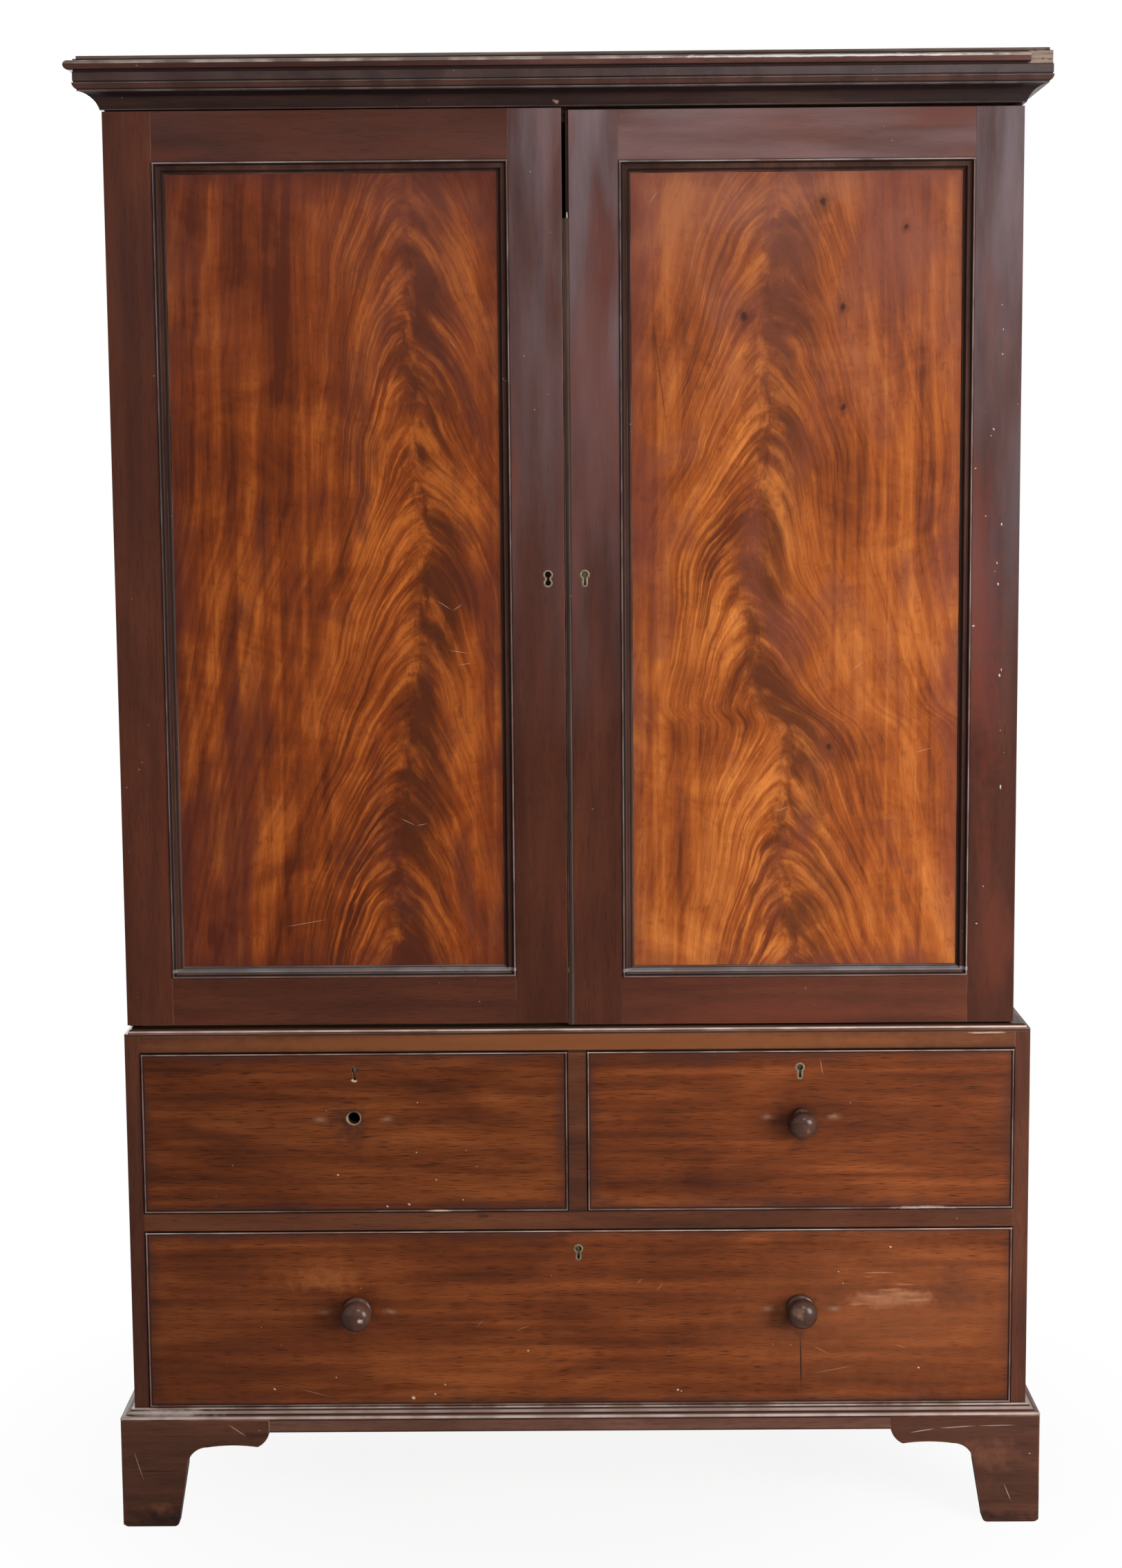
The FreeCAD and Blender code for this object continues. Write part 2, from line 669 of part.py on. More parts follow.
def hinge_leaf(label, side, middle, width, facing, own):
    """A butt hinge's leaf with its own knuckles; facing is 1 on the case, -1 on the door."""
    step = f"leaf_height / {KNUCKLES}"
    foot = f"({middle} - leaf_height / 2)"
    pin_side = f"hinge_y + {facing} * leaf_gap / 2"
    wood_side = f"{pin_side} + {facing} * leaf_thick"
    low_y, high_y = (pin_side, wood_side) if facing > 0 else (wood_side, pin_side)
    low_x, high_x = outwards(side, "knuckle_radius + rest_gap", width)
    leaf = board(label, (low_x, low_y, foot), (high_x, high_y, f"{foot} + leaf_height"))
    pin_x = outwards(side, "0", "0")[0]
    for index in own:
        low_z = f"{foot} + {index} * {step} + rest_gap / 2"
        high_z = f"{foot} + {index + 1} * {step} - rest_gap / 2"
        low_x, high_x = outwards(side, "0", "knuckle_radius + rest_gap * 2")
        block(leaf, (low_x, low_y, low_z), (high_x, high_y, high_z))
        rod(leaf, (pin_x, "hinge_y", low_z), "knuckle_radius", f"{step} - rest_gap")
    return bore(leaf, (pin_x, "hinge_y", foot), "pin_radius + pin_fit", "leaf_height")


# The moulding round a panel, as (in from the frame's edge, forward of its face).
bead_section = (
    ("0", "-panel_recess"),
    ("0", "bead_rise - bead_round"),
    ("bead_round", "bead_rise", "-bead_round"),
    ("bead_round * 2", "bead_rise - bead_round", "-bead_round"),
    ("bead_round * 2", "-bead_rise / 4"),
    ("bead_width / 2", "-bead_rise", "bead_width / 3"),
    ("bead_width * 0.65", "-bead_rise"),
    ("bead_width * 0.65", "-bead_rise * 1.5"),
    ("bead_width", "-panel_recess", "bead_width / 2"),
)
meeting_stiles = {}
fixed_leaves = []
for side, meeting_edge in (("left", "left_door_edge"), ("right", "right_door_edge")):
    door_z = f"{side}_door_z"
    door_head = f"({door_z} + door_height)"
    opening_foot = f"({door_z} + foot_rail)"
    opening_head = f"({door_head} - head_rail)"
    opening_out = "pin_offset + hinge_stile"
    opening_in = "pin_offset + half_case - meeting_reach"
    panel_low = f"{opening_foot} - panel_tongue"
    panel_high = f"{opening_head} + panel_tongue"
    tenon_y = "(face_y + door_back_y - tenon_thick) / 2"
    tenon_end_y = f"{tenon_y} + tenon_thick"
    foot_tenon = (f"{door_z} + tenon_shoulder", f"{opening_foot} - tenon_shoulder")
    head_tenon = (f"{opening_head} + tenon_shoulder", f"{door_head} - tenon_shoulder")

    # stiles, grooved for the panel and mortised for the rails
    stiles = []
    for name, width, groove, mortise in (
        ("hinge", ("pin_offset", opening_out), (f"{opening_out} - panel_tongue", opening_out),
         (f"{opening_out} - tenon_length", opening_out)),
        ("meeting", (opening_in, f"pin_offset + half_case - {meeting_edge}"),
         (opening_in, f"{opening_in} + panel_tongue"), (opening_in, f"{opening_in} + tenon_length")),
    ):
        low_x, high_x = outwards(side, *width)
        stile = board(
            f"door_{side}_{name}_stile", (low_x, "face_y", door_z), (high_x, "door_back_y", door_head)
        )
        low_x, high_x = outwards(side, *groove)
        trench(stile, (low_x, "panel_y", panel_low), (high_x, "panel_back_y", panel_high))
        low_x, high_x = outwards(side, *mortise)
        for low_z, high_z in (foot_tenon, head_tenon):
            trench(stile, (low_x, tenon_y, low_z), (high_x, tenon_end_y, high_z))
        stiles.append(keep(stile))
    hinge_stile_piece, meeting_stiles[side] = stiles

    # rails, tenoned and grooved
    rails = []
    low_x, high_x = outwards(side, opening_out, opening_in)
    tenon_ends = outwards(side, f"{opening_out} - tenon_length", f"{opening_in} + tenon_length")
    for name, low_z, high_z, tenon, groove in (
        ("foot", door_z, opening_foot, foot_tenon, (panel_low, opening_foot)),
        ("head", opening_head, door_head, head_tenon, (opening_head, panel_high)),
    ):
        rail = board(f"{side}_{name}_rail", (low_x, "face_y", low_z), (high_x, "door_back_y", high_z))
        block(rail, (tenon_ends[0], tenon_y, tenon[0]), (tenon_ends[1], tenon_end_y, tenon[1]))
        rails.append(trench(rail, (low_x, "panel_y", groove[0]), (high_x, "panel_back_y", groove[1])))
    group(f"door_{side}_rails", rails)

    group(f"door_{side}_bead", mitred_frame(
        f"{side}_bead", bead_section, "face_y", low_x, high_x, opening_foot, opening_head
    ))
    low_x, high_x = outwards(side, f"{opening_out} - panel_tongue", f"{opening_in} + panel_tongue")
    keep(board(f"door_{side}_panel", (low_x, "panel_y", panel_low), (high_x, "panel_back_y", panel_high)))

    # three butt hinges, let into the door's back and the cupboard's front edge
    moving_leaves = []
    pin_x = outwards(side, "0", "0")[0]
    leaf_seat_y = "hinge_y - leaf_gap / 2 - leaf_thick"
    knuckle_seat_y = "hinge_y - knuckle_radius - rest_gap"
    for number, middle in enumerate(hinge_heights(door_z), start=1):
        bottom = f"{middle} - leaf_height / 2"
        top = f"{middle} + leaf_height / 2"
        low_x, high_x = outwards(side, "0", "door_leaf_width")
        trench(hinge_stile_piece, (low_x, leaf_seat_y, bottom), (high_x, "hinge_y", top))
        low_x, high_x = outwards(side, "0", "knuckle_radius + rest_gap")
        trench(hinge_stile_piece, (low_x, knuckle_seat_y, bottom), (high_x, "hinge_y", top))
        moving_leaves.append(
            hinge_leaf(f"{side}_door_leaf_{number}", side, middle, "door_leaf_width", -1, (1, 3))
        )
        fixed_leaves.append(
            hinge_leaf(f"{side}_case_leaf_{number}", side, middle, "case_leaf_width", 1, (0, 2, 4))
        )
        pin = new_body(f"{side}_pin_{number}")
        fixed_leaves.append(rod(pin, (pin_x, "hinge_y", bottom), "pin_radius", "leaf_height"))
    group(f"door_{side}_hinge_leaves", moving_leaves)
group("case_hinge_leaves", fixed_leaves)

# Left door: a keyhole for show, and a barrel bolt on its back at the head and at the foot.
left_key = ("-door_key_inset", "face_y", "door_key_z")
cut_keyhole(meeting_stiles["left"], FIGURE_KEYHOLE, left_key, "(door_thick - lock_thick)")
brasses = [key_rim("left_door_rim", FIGURE_KEYHOLE, left_key)]
keeper_half = "barrel_radius * 2"
plate_half = "barrel_radius * 3"
for name, rod_z in (
    ("top", "(case_ceiling - rest_gap - barrel_length)"),
    ("bottom", "(case_floor_top + rest_gap)"),
):
    plate_z = f"({rod_z} + (barrel_length - barrel_plate) / 2)"
    plate = board(
        f"{name}_bolt_plate",
        (f"barrel_x - {plate_half}", "door_back_y", plate_z),
        (f"barrel_x + {plate_half}", "door_back_y + leaf_thick", f"{plate_z} + barrel_plate"),
    )
    for keeper_z in (plate_z, f"{plate_z} + barrel_plate - bolt_throw"):
        block(
            plate,
            (f"barrel_x - {keeper_half}", "door_back_y", keeper_z),
            (f"barrel_x + {keeper_half}", "barrel_y + barrel_radius * 1.8", f"{keeper_z} + bolt_throw"),
        )
    brasses.append(bore(
        plate, ("barrel_x", "barrel_y", plate_z), "barrel_radius + slide_fit", "barrel_plate"
    ))
    bolt = new_body(f"door_left_{name}_bolt")
    rod(bolt, ("barrel_x", "barrel_y", rod_z), "barrel_radius", "barrel_length")
    grip = ("barrel_x", "barrel_y + barrel_grip", f"{rod_z} + barrel_length / 2")
    keep(rod(bolt, grip, "barrel_radius * 0.8", "barrel_grip", FORWARDS))
group("door_left_brasses", brasses)

# Right door: a lock let into its back, whose bolt enters a mortise in the left door.
right_stile = meeting_stiles["right"]
right_key = ("door_key_inset", "face_y", "door_key_z")
lock_end = "(right_door_edge + lock_length)"
bolt_low_y = "door_bolt_y - bolt_thick / 2"
bolt_high_y = "door_bolt_y + bolt_thick / 2"
cut_keyhole(right_stile, PLAIN_KEYHOLE, right_key, "(door_thick - lock_thick)")
lock_low = ("right_door_edge", "door_back_y - lock_thick", "door_key_z - lock_width / 2")
lock_high = (lock_end, "door_back_y", "door_key_z + lock_width / 2")
trench(right_stile, lock_low, lock_high)
door_lock = trench(
    board("right_lock_case", lock_low, lock_high),
    ("right_door_edge", f"{bolt_low_y} - slide_fit", "door_key_z - bolt_width / 2 - slide_fit"),
    ("right_door_edge + bolt_length + rest_gap * 2", f"{bolt_high_y} + slide_fit",
     "door_key_z + bolt_width / 2 + slide_fit"),
)
group("door_right_lock", [door_lock, key_rim("right_door_rim", PLAIN_KEYHOLE, right_key)])
keep(board(
    "door_right_lock_bolt",
    ("right_door_edge + rest_gap", bolt_low_y, "door_key_z - bolt_width / 2"),
    ("right_door_edge + rest_gap + bolt_length", bolt_high_y, "door_key_z + bolt_width / 2"),
))
trench(
    meeting_stiles["left"],
    ("right_door_edge - bolt_throw", f"{bolt_low_y} - slide_fit", "door_key_z - bolt_width / 2 - slide_fit"),
    ("-left_door_edge", f"{bolt_high_y} + slide_fit", "door_key_z + bolt_width / 2 + slide_fit"),
)

# The round strip that covers the gap between the doors, broken away at its top.
trench(
    right_stile,
    ("right_door_edge", "face_y", "right_door_z"),
    ("strip_right", "face_y + strip_depth", "right_door_z + door_height"),
)
keep(padded(
    "door_right_meeting_bead", "XY_Plane",
    (
        ("strip_left", "face_y + strip_depth"),
        ("strip_right", "face_y + strip_depth"),
        ("strip_right", "face_y + strip_rise / 3"),
        ("strip_left", "face_y + strip_rise / 3", "-strip_round"),
    ),
    "right_door_z", "door_height - strip_break",
))

# ------------------------------------------------------------------- the chest's case
for side, low_x, high_x in (
    ("left", "base_left", "inner_left"),
    ("right", "inner_right", "base_right"),
):
    keep(board(f"chest_side_{side}", (low_x, "base_y", "foot_height"), (high_x, "back_y", "chest_top")))

waist_section = (
    ("-waist_strip", "0"),
    ("0", "0"),
    ("0", "waist_lip"),
    ("-waist_set", "waist_lip"),
    ("-waist_set - (waist_board - waist_lip)", "waist_board", "(waist_board - waist_lip)"),
    ("-waist_strip", "waist_board"),
)
waist_board_piece = board(
    "waist_board",
    ("base_left + waist_strip", "base_y + waist_strip", "chest_top"),
    ("base_right - waist_strip", "back_y", "waist_top"),
)
group("chest_top", [waist_board_piece, *three_strips(
    "waist", waist_section, "0", "base_y", "base_left", "base_right", "base_depth", "chest_top"
)])

upper_rail_piece = board(
    "upper_rail", ("inner_left", "base_y", "short_top"), ("inner_right", "rail_back_y", "chest_top")
)
middle_rail_piece = board(
    "middle_rail", ("inner_left", "base_y", "long_top"), ("inner_right", "rail_back_y", "short_floor")
)
divider_piece = board(
    "divider", ("divider_left", "base_y", "short_floor"), ("divider_right", "rail_back_y", "short_top")
)
keep(board(
    "dust_board",
    ("inner_left", "rail_back_y", "short_floor - dust_board"),
    ("inner_right", "inside_back_y", "short_floor"),
))
keep(board(
    "chest_bottom",
    ("inner_left", "base_y", "foot_height"),
    ("inner_right", "inside_back_y", "long_floor"),
))
back_boards("chest_back", "inner_left", "inner_right", "foot_height", "chest_top")

runners = [
    board("centre_guide", ("divider_left", "rail_back_y", "short_floor"),
          ("divider_right", "inside_back_y", "short_floor + guide_rise")),
    board("centre_kicker", ("divider_left - kicker_width", "rail_back_y", "short_top"),
          ("divider_right + kicker_width", "inside_back_y", "chest_top")),
]
for name, low_z, high_z in (
    ("upper", "short_top", "chest_top"),
    ("lower", "long_top", "short_floor - dust_board"),
):
    for side, low_x, high_x in (
        ("left", "inner_left", "inner_left + kicker_width"),
        ("right", "inner_right - kicker_width", "inner_right"),
    ):
        runners.append(board(
            f"{name}_kicker_{side}", (low_x, "rail_back_y", low_z), (high_x, "inside_back_y", high_z)
        ))
group("drawer_runners", runners)

# ---------------------------------------------------------------------------- drawers
cockbead_section = (
    ("0", "cockbead_rise - cockbead_depth"),
    ("0", "cockbead_rise - cockbead / 2"),
    ("cockbead / 2", "cockbead_rise", "-cockbead / 2"),
    ("cockbead", "cockbead_rise - cockbead / 2", "-cockbead / 2"),
    ("cockbead", "cockbead_rise - cockbead_depth"),
)
knob_outline = (
    ("0", "front_thick"),
    ("knob_hole - spigot_fit", "front_thick"),
    ("knob_hole - spigot_fit", "0"),
    ("knob_foot", "0"),
    ("knob_foot", "-foot_thick"),
    ("knob_waist", "-knob_neck", "knob_neck - foot_thick"),
    ("knob_radius", "-knob_widest",
     "-(((knob_radius - knob_waist)^2 + (knob_widest - knob_neck)^2) / (2 * (knob_radius - knob_waist)))"),
    ("knob_radius * 0.8", "-(knob_widest + (knob_reach - knob_widest) * 0.6)", "-knob_edge"),
    ("0", "-knob_reach", "-knob_dome"),
)


def knob(label, x, z):
    """A turned wooden knob whose spigot fills the hole bored through the drawer front."""
    body = new_body(label)
    profile = outline(body, "XY_Plane", knob_outline)
    turned = body.newObject("PartDesign::Revolution", "Turned")
    turned.Profile = profile
    turned.ReferenceAxis = (profile, ["V_Axis"])
    turned.Angle = 360
    return put(body, (x, "base_y", z))


def drawer(label, opening, rail, key, knobs, rimmed=True):
    """A drawer: front with beads, lock and bolt, and the box behind, in its opening."""
    low_x, high_x, low_z, high_z = opening
    left, right = f"({low_x} + drawer_gap)", f"({high_x} - drawer_gap)"
    foot, head = f"({low_z} + drawer_gap)", f"({high_z} - drawer_gap)"
    rebate_y = "base_y + cockbead_depth - cockbead_rise"
    key_x, key_z = key

    front = board(
        f"{label}_front_board",
        (f"{left} + cockbead", "base_y", f"{foot} + cockbead"),
        (f"{right} - cockbead", "front_back_y", f"{head} - cockbead"),
    )
    block(front, (left, rebate_y, foot), (right, "front_back_y", head))
    for x, z in knobs:
        bore(front, (x, "front_back_y", z), "knob_hole", "front_thick", FORWARDS)
    cut_keyhole(front, PLAIN_KEYHOLE, (key_x, "base_y", key_z), "(front_thick - lock_thick)", rimmed)
    lock_low = (f"{key_x} - lock_width / 2", "front_back_y - lock_thick", f"{head} - lock_length")
    lock_high = (f"{key_x} + lock_width / 2", "front_back_y", head)
    trench(front, lock_low, lock_high)
    beads = mitred_frame(f"{label}_cockbead", cockbead_section, "base_y", left, right, foot, head)
    group(f"{label}_front", [front, *beads])

    bolt_head = f"{head} - rest_gap"
    bolt_foot = f"{bolt_head} - bolt_length"
    bolt_low = (f"{key_x} - bolt_width / 2", "drawer_bolt_y - bolt_thick / 2", bolt_foot)
    bolt_high = (f"{key_x} + bolt_width / 2", "drawer_bolt_y + bolt_thick / 2", bolt_head)
    slot_low = [f"{words} - slide_fit" for words in bolt_low]
    slot_high = [f"{words} + slide_fit" for words in bolt_high]
    lock = trench(board(f"{label}_lock_case", lock_low, lock_high), slot_low, slot_high)
    brass = [lock]
    if rimmed:
        brass.append(key_rim(f"{label}_rim", PLAIN_KEYHOLE, (key_x, "base_y", key_z)))
    group(f"{label}_lock", brass)
    keep(board(f"{label}_lock_bolt", bolt_low, bolt_high))
    trench(
        rail,
        (slot_low[0], slot_low[1], high_z),
        (slot_high[0], slot_high[1], f"{high_z} + bolt_throw + rest_gap"),
    )

    side_foot = f"({low_z} + rest_gap)"
    side_head = f"{head} - drawer_fall"
    floor_z = f"{side_foot} + bottom_rise"
    box_left, box_right = f"{left} + drawer_side", f"{right} - drawer_side"
    group(f"{label}_box", [
        board(f"{label}_left_side", (left, "front_back_y", side_foot),
              (box_left, "drawer_end_y", side_head)),
        board(f"{label}_right_side", (box_right, "front_back_y", side_foot),
              (right, "drawer_end_y", side_head)),
        board(f"{label}_back", (box_left, "drawer_end_y - drawer_side", floor_z),
              (box_right, "drawer_end_y", side_head)),
        board(f"{label}_bottom", (box_left, "front_back_y", floor_z),
              (box_right, "drawer_end_y - drawer_side", f"{floor_z} + drawer_bottom")),
    ])


short_knob_z = "short_top - short_knob_drop"
short_key_z = "short_top - short_key_drop"
long_knob_z = "long_top - long_knob_drop"
left_knob_x, right_knob_x = "base_shift - knob_span", "base_shift + knob_span"
# The left short drawer has lost its knob and the rim of its keyhole.
drawer(
    "short_drawer_left", ("inner_left", "divider_left", "short_floor", "short_top"), upper_rail_piece,
    ("base_shift - short_key_span", short_key_z), [(left_knob_x, short_knob_z)], rimmed=False,
)
drawer(
    "short_drawer_right", ("divider_right", "inner_right", "short_floor", "short_top"), upper_rail_piece,
    ("base_shift + short_key_span", short_key_z), [(right_knob_x, short_knob_z)],
)
drawer(
    "long_drawer", ("inner_left", "inner_right", "long_floor", "long_top"), middle_rail_piece,
    ("base_shift", "long_top - long_key_drop"), [(left_knob_x, long_knob_z), (right_knob_x, long_knob_z)],
)
keep(knob("short_drawer_right_knob", right_knob_x, short_knob_z))
group("long_drawer_knobs", [
    knob("long_knob_left", left_knob_x, long_knob_z),
    knob("long_knob_right", right_knob_x, long_knob_z),
])
group("chest_front_frame", [upper_rail_piece, middle_rail_piece, divider_piece])

# --------------------------------------------------------------- plinth and feet
plinth_section = (
    ("0", "0"),
    ("plinth_reach - plinth_nose / 2", "0"),
    ("plinth_reach", "plinth_nose / 2", "plinth_nose / 2"),
    ("plinth_reach - plinth_nose / 2", "plinth_nose", "plinth_nose / 2"),
    ("plinth_reach - plinth_set", "plinth_nose"),
    ("plinth_set * 1.5", "floor_board - plinth_nose / 2", "-plinth_hollow"),
    ("plinth_set", "floor_board"),
    ("0", "floor_board"),
)
apron_left = "base_left - bracket_face + bracket_reach"
apron_right = "base_right + bracket_face - bracket_reach"
side_apron = ("base_y - bracket_face + bracket_reach", "back_y - bracket_reach")
plinth_strips = three_strips(
    "plinth", plinth_section, "plinth_reach", "base_y", "base_left", "base_right", "base_depth",
    "foot_height",
)
group("plinth_moulding", [
    *plinth_strips,
    board("front_apron", (apron_left, "base_y - bracket_face", "apron_z"),
          (apron_right, "base_y - bracket_back", "foot_height")),
    board("left_apron", ("base_left - bracket_face", side_apron[0], "apron_z"),
          ("base_left - bracket_back", side_apron[1], "foot_height")),
    board("right_apron", ("base_right + bracket_back", side_apron[0], "apron_z"),
          ("base_right + bracket_face", side_apron[1], "foot_height")),
])

# A bracket foot seen from outside, its outer corner at the left, on the floor.
bracket_outline = (
    ("leg_wear", "0", "leg_wear"),
    ("leg_foot - leg_wear", "0"),
    ("leg_foot", "leg_wear", "leg_wear"),
    ("leg_head", "wing_z - leg_curve"),
    ("leg_head + leg_curve", "wing_z", "-leg_curve"),
    ("bracket_reach - lobe", "wing_z", "-wing_arch"),
    ("bracket_reach", "apron_z", "lobe_round"),
    ("bracket_reach", "foot_height"),
    ("0", "foot_height"),
    ("0", "leg_wear"),
)


def bracket(label, corner, flipped=False):
    """One board of a foot along X; corner is where its outer end lies on that line."""
    corners = mirrored(bracket_outline) if flipped else bracket_outline
    moved = [(f"{corner} + ({across})", *others) for across, *others in corners]
    return padded(label, "XZ_Plane", moved, "bracket_back", "bracket_thick")


for side, chest_x, to_side, front_flipped in (
    ("left", "base_left", TO_LEFT_SIDE, False),
    ("right", "base_right", TO_RIGHT_SIDE, True),
):
    front_corner, side_corner = "-bracket_face", "bracket_face"
    front_waste, side_waste = 135, 45
    if front_flipped:
        front_corner, side_corner = side_corner, front_corner
        front_waste, side_waste = side_waste, front_waste
    front = mitre(bracket(f"{side}_front_bracket", front_corner, front_flipped), "0", front_waste)
    flank = mitre(bracket(f"{side}_side_bracket", side_corner, not front_flipped), "0", side_waste)
    low_x, high_x = "base_left - bracket_back", "base_left - bracket_back + glue_block"
    if side == "right":
        low_x, high_x = "base_right + bracket_back - glue_block", "base_right + bracket_back"
    group(f"foot_front_{side}", [
        put(front, (chest_x, "base_y", "0")),
        put(flank, (chest_x, "base_y", "0"), to_side),
        board(f"{side}_glue_block", (low_x, "base_y - bracket_back", "block_rise"),
              (high_x, "base_y - bracket_back + glue_block", "foot_height")),
    ])

rear_board_y = "back_y - bracket_thick"
left_rear_x, right_rear_x = "base_left - bracket_back", "base_right + bracket_back"
group("foot_rear", [
    put(bracket("left_rear_bracket", "-base_depth"), ("base_left", "base_y", "0"), TO_LEFT_SIDE),
    put(bracket("right_rear_bracket", "base_depth", True), ("base_right", "base_y", "0"), TO_RIGHT_SIDE),
    board("left_rear_board", (left_rear_x, rear_board_y, "0"),
          (f"{left_rear_x} + rear_board", "back_y", "foot_height")),
    board("right_rear_board", (f"{right_rear_x} - rear_board", rear_board_y, "0"),
          (right_rear_x, "back_y", "foot_height")),
])

# ------------------------------------------------------------------ checks and files
document.recompute()
for item in document.Objects:
    if {"Invalid", "Error"} & set(item.State):
        raise ValueError(f"{item.Label} did not build: {item.State}")
    if item.TypeId.startswith("PartDesign::Subtractive"):
        if item.Shape.Volume >= item.BaseFeature.Shape.Volume:
            raise ValueError(f"{item.Label} of {item.getParentGeoFeatureGroup().Label} cuts nothing")

os.makedirs("parts", exist_ok=True)
for piece in pieces:
    if piece.Shape.isNull() or not piece.Shape.isValid():
        raise ValueError(f"{piece.Label} has no sound shape")
    piece.Shape.exportStep(f"parts/{piece.Label}.step")
print(f"{len(pieces)} pieces written")
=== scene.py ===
import math

import bmesh
import bpy
from mathutils import Matrix, Vector


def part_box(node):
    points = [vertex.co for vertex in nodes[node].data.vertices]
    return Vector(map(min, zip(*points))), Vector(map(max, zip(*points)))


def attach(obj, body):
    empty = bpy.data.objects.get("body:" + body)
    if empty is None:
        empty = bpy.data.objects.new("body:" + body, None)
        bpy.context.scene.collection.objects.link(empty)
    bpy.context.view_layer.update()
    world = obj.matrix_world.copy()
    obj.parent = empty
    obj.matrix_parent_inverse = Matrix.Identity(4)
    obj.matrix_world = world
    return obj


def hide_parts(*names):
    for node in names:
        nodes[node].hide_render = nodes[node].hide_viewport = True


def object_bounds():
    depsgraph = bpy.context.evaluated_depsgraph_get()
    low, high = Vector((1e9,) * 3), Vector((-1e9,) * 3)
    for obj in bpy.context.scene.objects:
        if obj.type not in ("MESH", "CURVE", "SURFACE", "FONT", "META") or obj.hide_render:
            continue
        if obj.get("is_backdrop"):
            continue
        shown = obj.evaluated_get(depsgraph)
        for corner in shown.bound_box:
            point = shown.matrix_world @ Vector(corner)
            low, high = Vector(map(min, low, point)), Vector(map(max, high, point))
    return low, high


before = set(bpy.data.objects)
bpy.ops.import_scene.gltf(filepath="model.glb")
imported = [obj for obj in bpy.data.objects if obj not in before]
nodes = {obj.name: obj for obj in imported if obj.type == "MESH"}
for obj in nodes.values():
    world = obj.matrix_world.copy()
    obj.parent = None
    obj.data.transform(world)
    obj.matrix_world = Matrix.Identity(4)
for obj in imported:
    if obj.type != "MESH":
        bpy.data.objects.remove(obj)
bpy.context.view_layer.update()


# Chest sides: two mahogany boards with upright grain, stained and waxed outside.
def put(tree, kind, inputs=None, **settings):
    """Adds a shader node, with its settings and with values or sockets on its inputs."""
    made = tree.nodes.new("ShaderNode" + kind)
    for key, value in settings.items():
        setattr(made, key, value)
    for key, value in (inputs or {}).items():
        if isinstance(value, bpy.types.NodeSocket):
            tree.links.new(value, made.inputs[key])
        else:
            made.inputs[key].default_value = value
    return made


def sums(kind, *parts):
    """One step of arithmetic on numbers and sockets."""
    tree = next(part for part in parts if isinstance(part, bpy.types.NodeSocket)).id_data
    return put(tree, "Math", dict(enumerate(parts)), operation=kind).outputs[0]


def times(first, second):
    """One number or socket multiplied by another."""
    return sums("MULTIPLY", first, second)


def added(first, share, second):
    """The first, multiplied by its share, added to the second."""
    return sums("MULTIPLY_ADD", first, share, second)


def between(value, low, high, to_low=0.0, to_high=1.0):
    """A value stretched, so that low and high become to_low and to_high, and held there."""
    inputs = {0: value, 1: low, 2: high, 3: to_low, 4: to_high}
    return put(value.id_data, "MapRange", inputs).outputs[0]


def blended(share, first, second, kind="MIX"):
    """A colour laid over another as far as share says. The second may be a plain colour."""
    if not isinstance(second, bpy.types.NodeSocket):
        second = (*second, 1)
    return put(first.id_data, "Mix", {0: share, 6: first, 7: second}, data_type="RGBA",
               blend_type=kind).outputs[2]


def toned(colour, red, green=None, blue=None):
    """A colour made darker or lighter, by one number or by one for each channel."""
    green, blue = (red, red) if green is None else (green, blue)
    return colour[0] * red, colour[1] * green, colour[2] * blue


def ramp(value, *stops):
    """A value turned into a colour by a few stops of (place, (red, green, blue))."""
    made = put(value.id_data, "ValToRGB", {0: value})
    row = made.color_ramp.elements
    while len(row) < len(stops):
        row.new(0.5)
    for stop, (place, colour) in zip(row, stops):
        stop.position = place
        stop.color = (*colour, 1)
    return made.outputs[0]


def cloudy(where, scale, detail, bend=0.0, rough=0.5):
    """Noise with this many changes to the metre."""
    return put(where.id_data, "TexNoise", {"Vector": where, "Scale": scale, "Detail": detail,
                                           "Roughness": rough, "Distortion": bend}).outputs[0]


def grain(where, along, across, detail=4.0, bend=0.4, start=0.0):
    """Noise drawn out along the grain, with this many changes to the metre each way."""
    pull = tuple(along if letter == "L" else across for letter in where.node["run"])
    shift = start, start * 1.7, start * 0.6
    drawn = put(where.id_data, "Mapping", {0: where, 1: shift, 3: pull}).outputs[0]
    return cloudy(drawn, 1.0, detail, bend)


def begun(name, run="xxx"):
    """A new material with its nodes, its shader and the piece's own coordinates. run has an L for
    the axis that the grain follows."""
    made = bpy.data.materials.new(name)
    made.use_nodes = True
    tree = made.node_tree
    where = put(tree, "TexCoord").outputs["Object"]
    where.node["run"] = run
    return made, tree, tree.nodes["Principled BSDF"], where


def rounded(tree, radius):
    """The normal as if the edges had this radius, and how far it leans from the flat one."""
    soft = put(tree, "Bevel", {"Radius": radius}, samples=4).outputs[0]
    flat = put(tree, "NewGeometry").outputs["Normal"]
    return soft, put(tree, "VectorMath", {0: soft, 1: flat}, operation="DOT_PRODUCT").outputs[1]


def openness(tree, distance):
    """How open a place is, from 0 in a tight corner to 1 on a bare face, judged this far round."""
    return put(tree, "AmbientOcclusion", {"Distance": distance}, samples=4).outputs["AO"]


def finished(shader, colour, rough, height, strength, depth, soft=None):
    """Gives a shader its colour, its roughness and a fine relief."""
    relief = {"Strength": strength, "Distance": depth, "Height": height}
    if soft is not None:
        relief["Normal"] = soft
    bump = put(shader.id_data, "Bump", relief).outputs[0]
    for name, socket in (("Base Color", colour), ("Roughness", rough), ("Normal", bump)):
        shader.id_data.links.new(socket, shader.inputs[name])


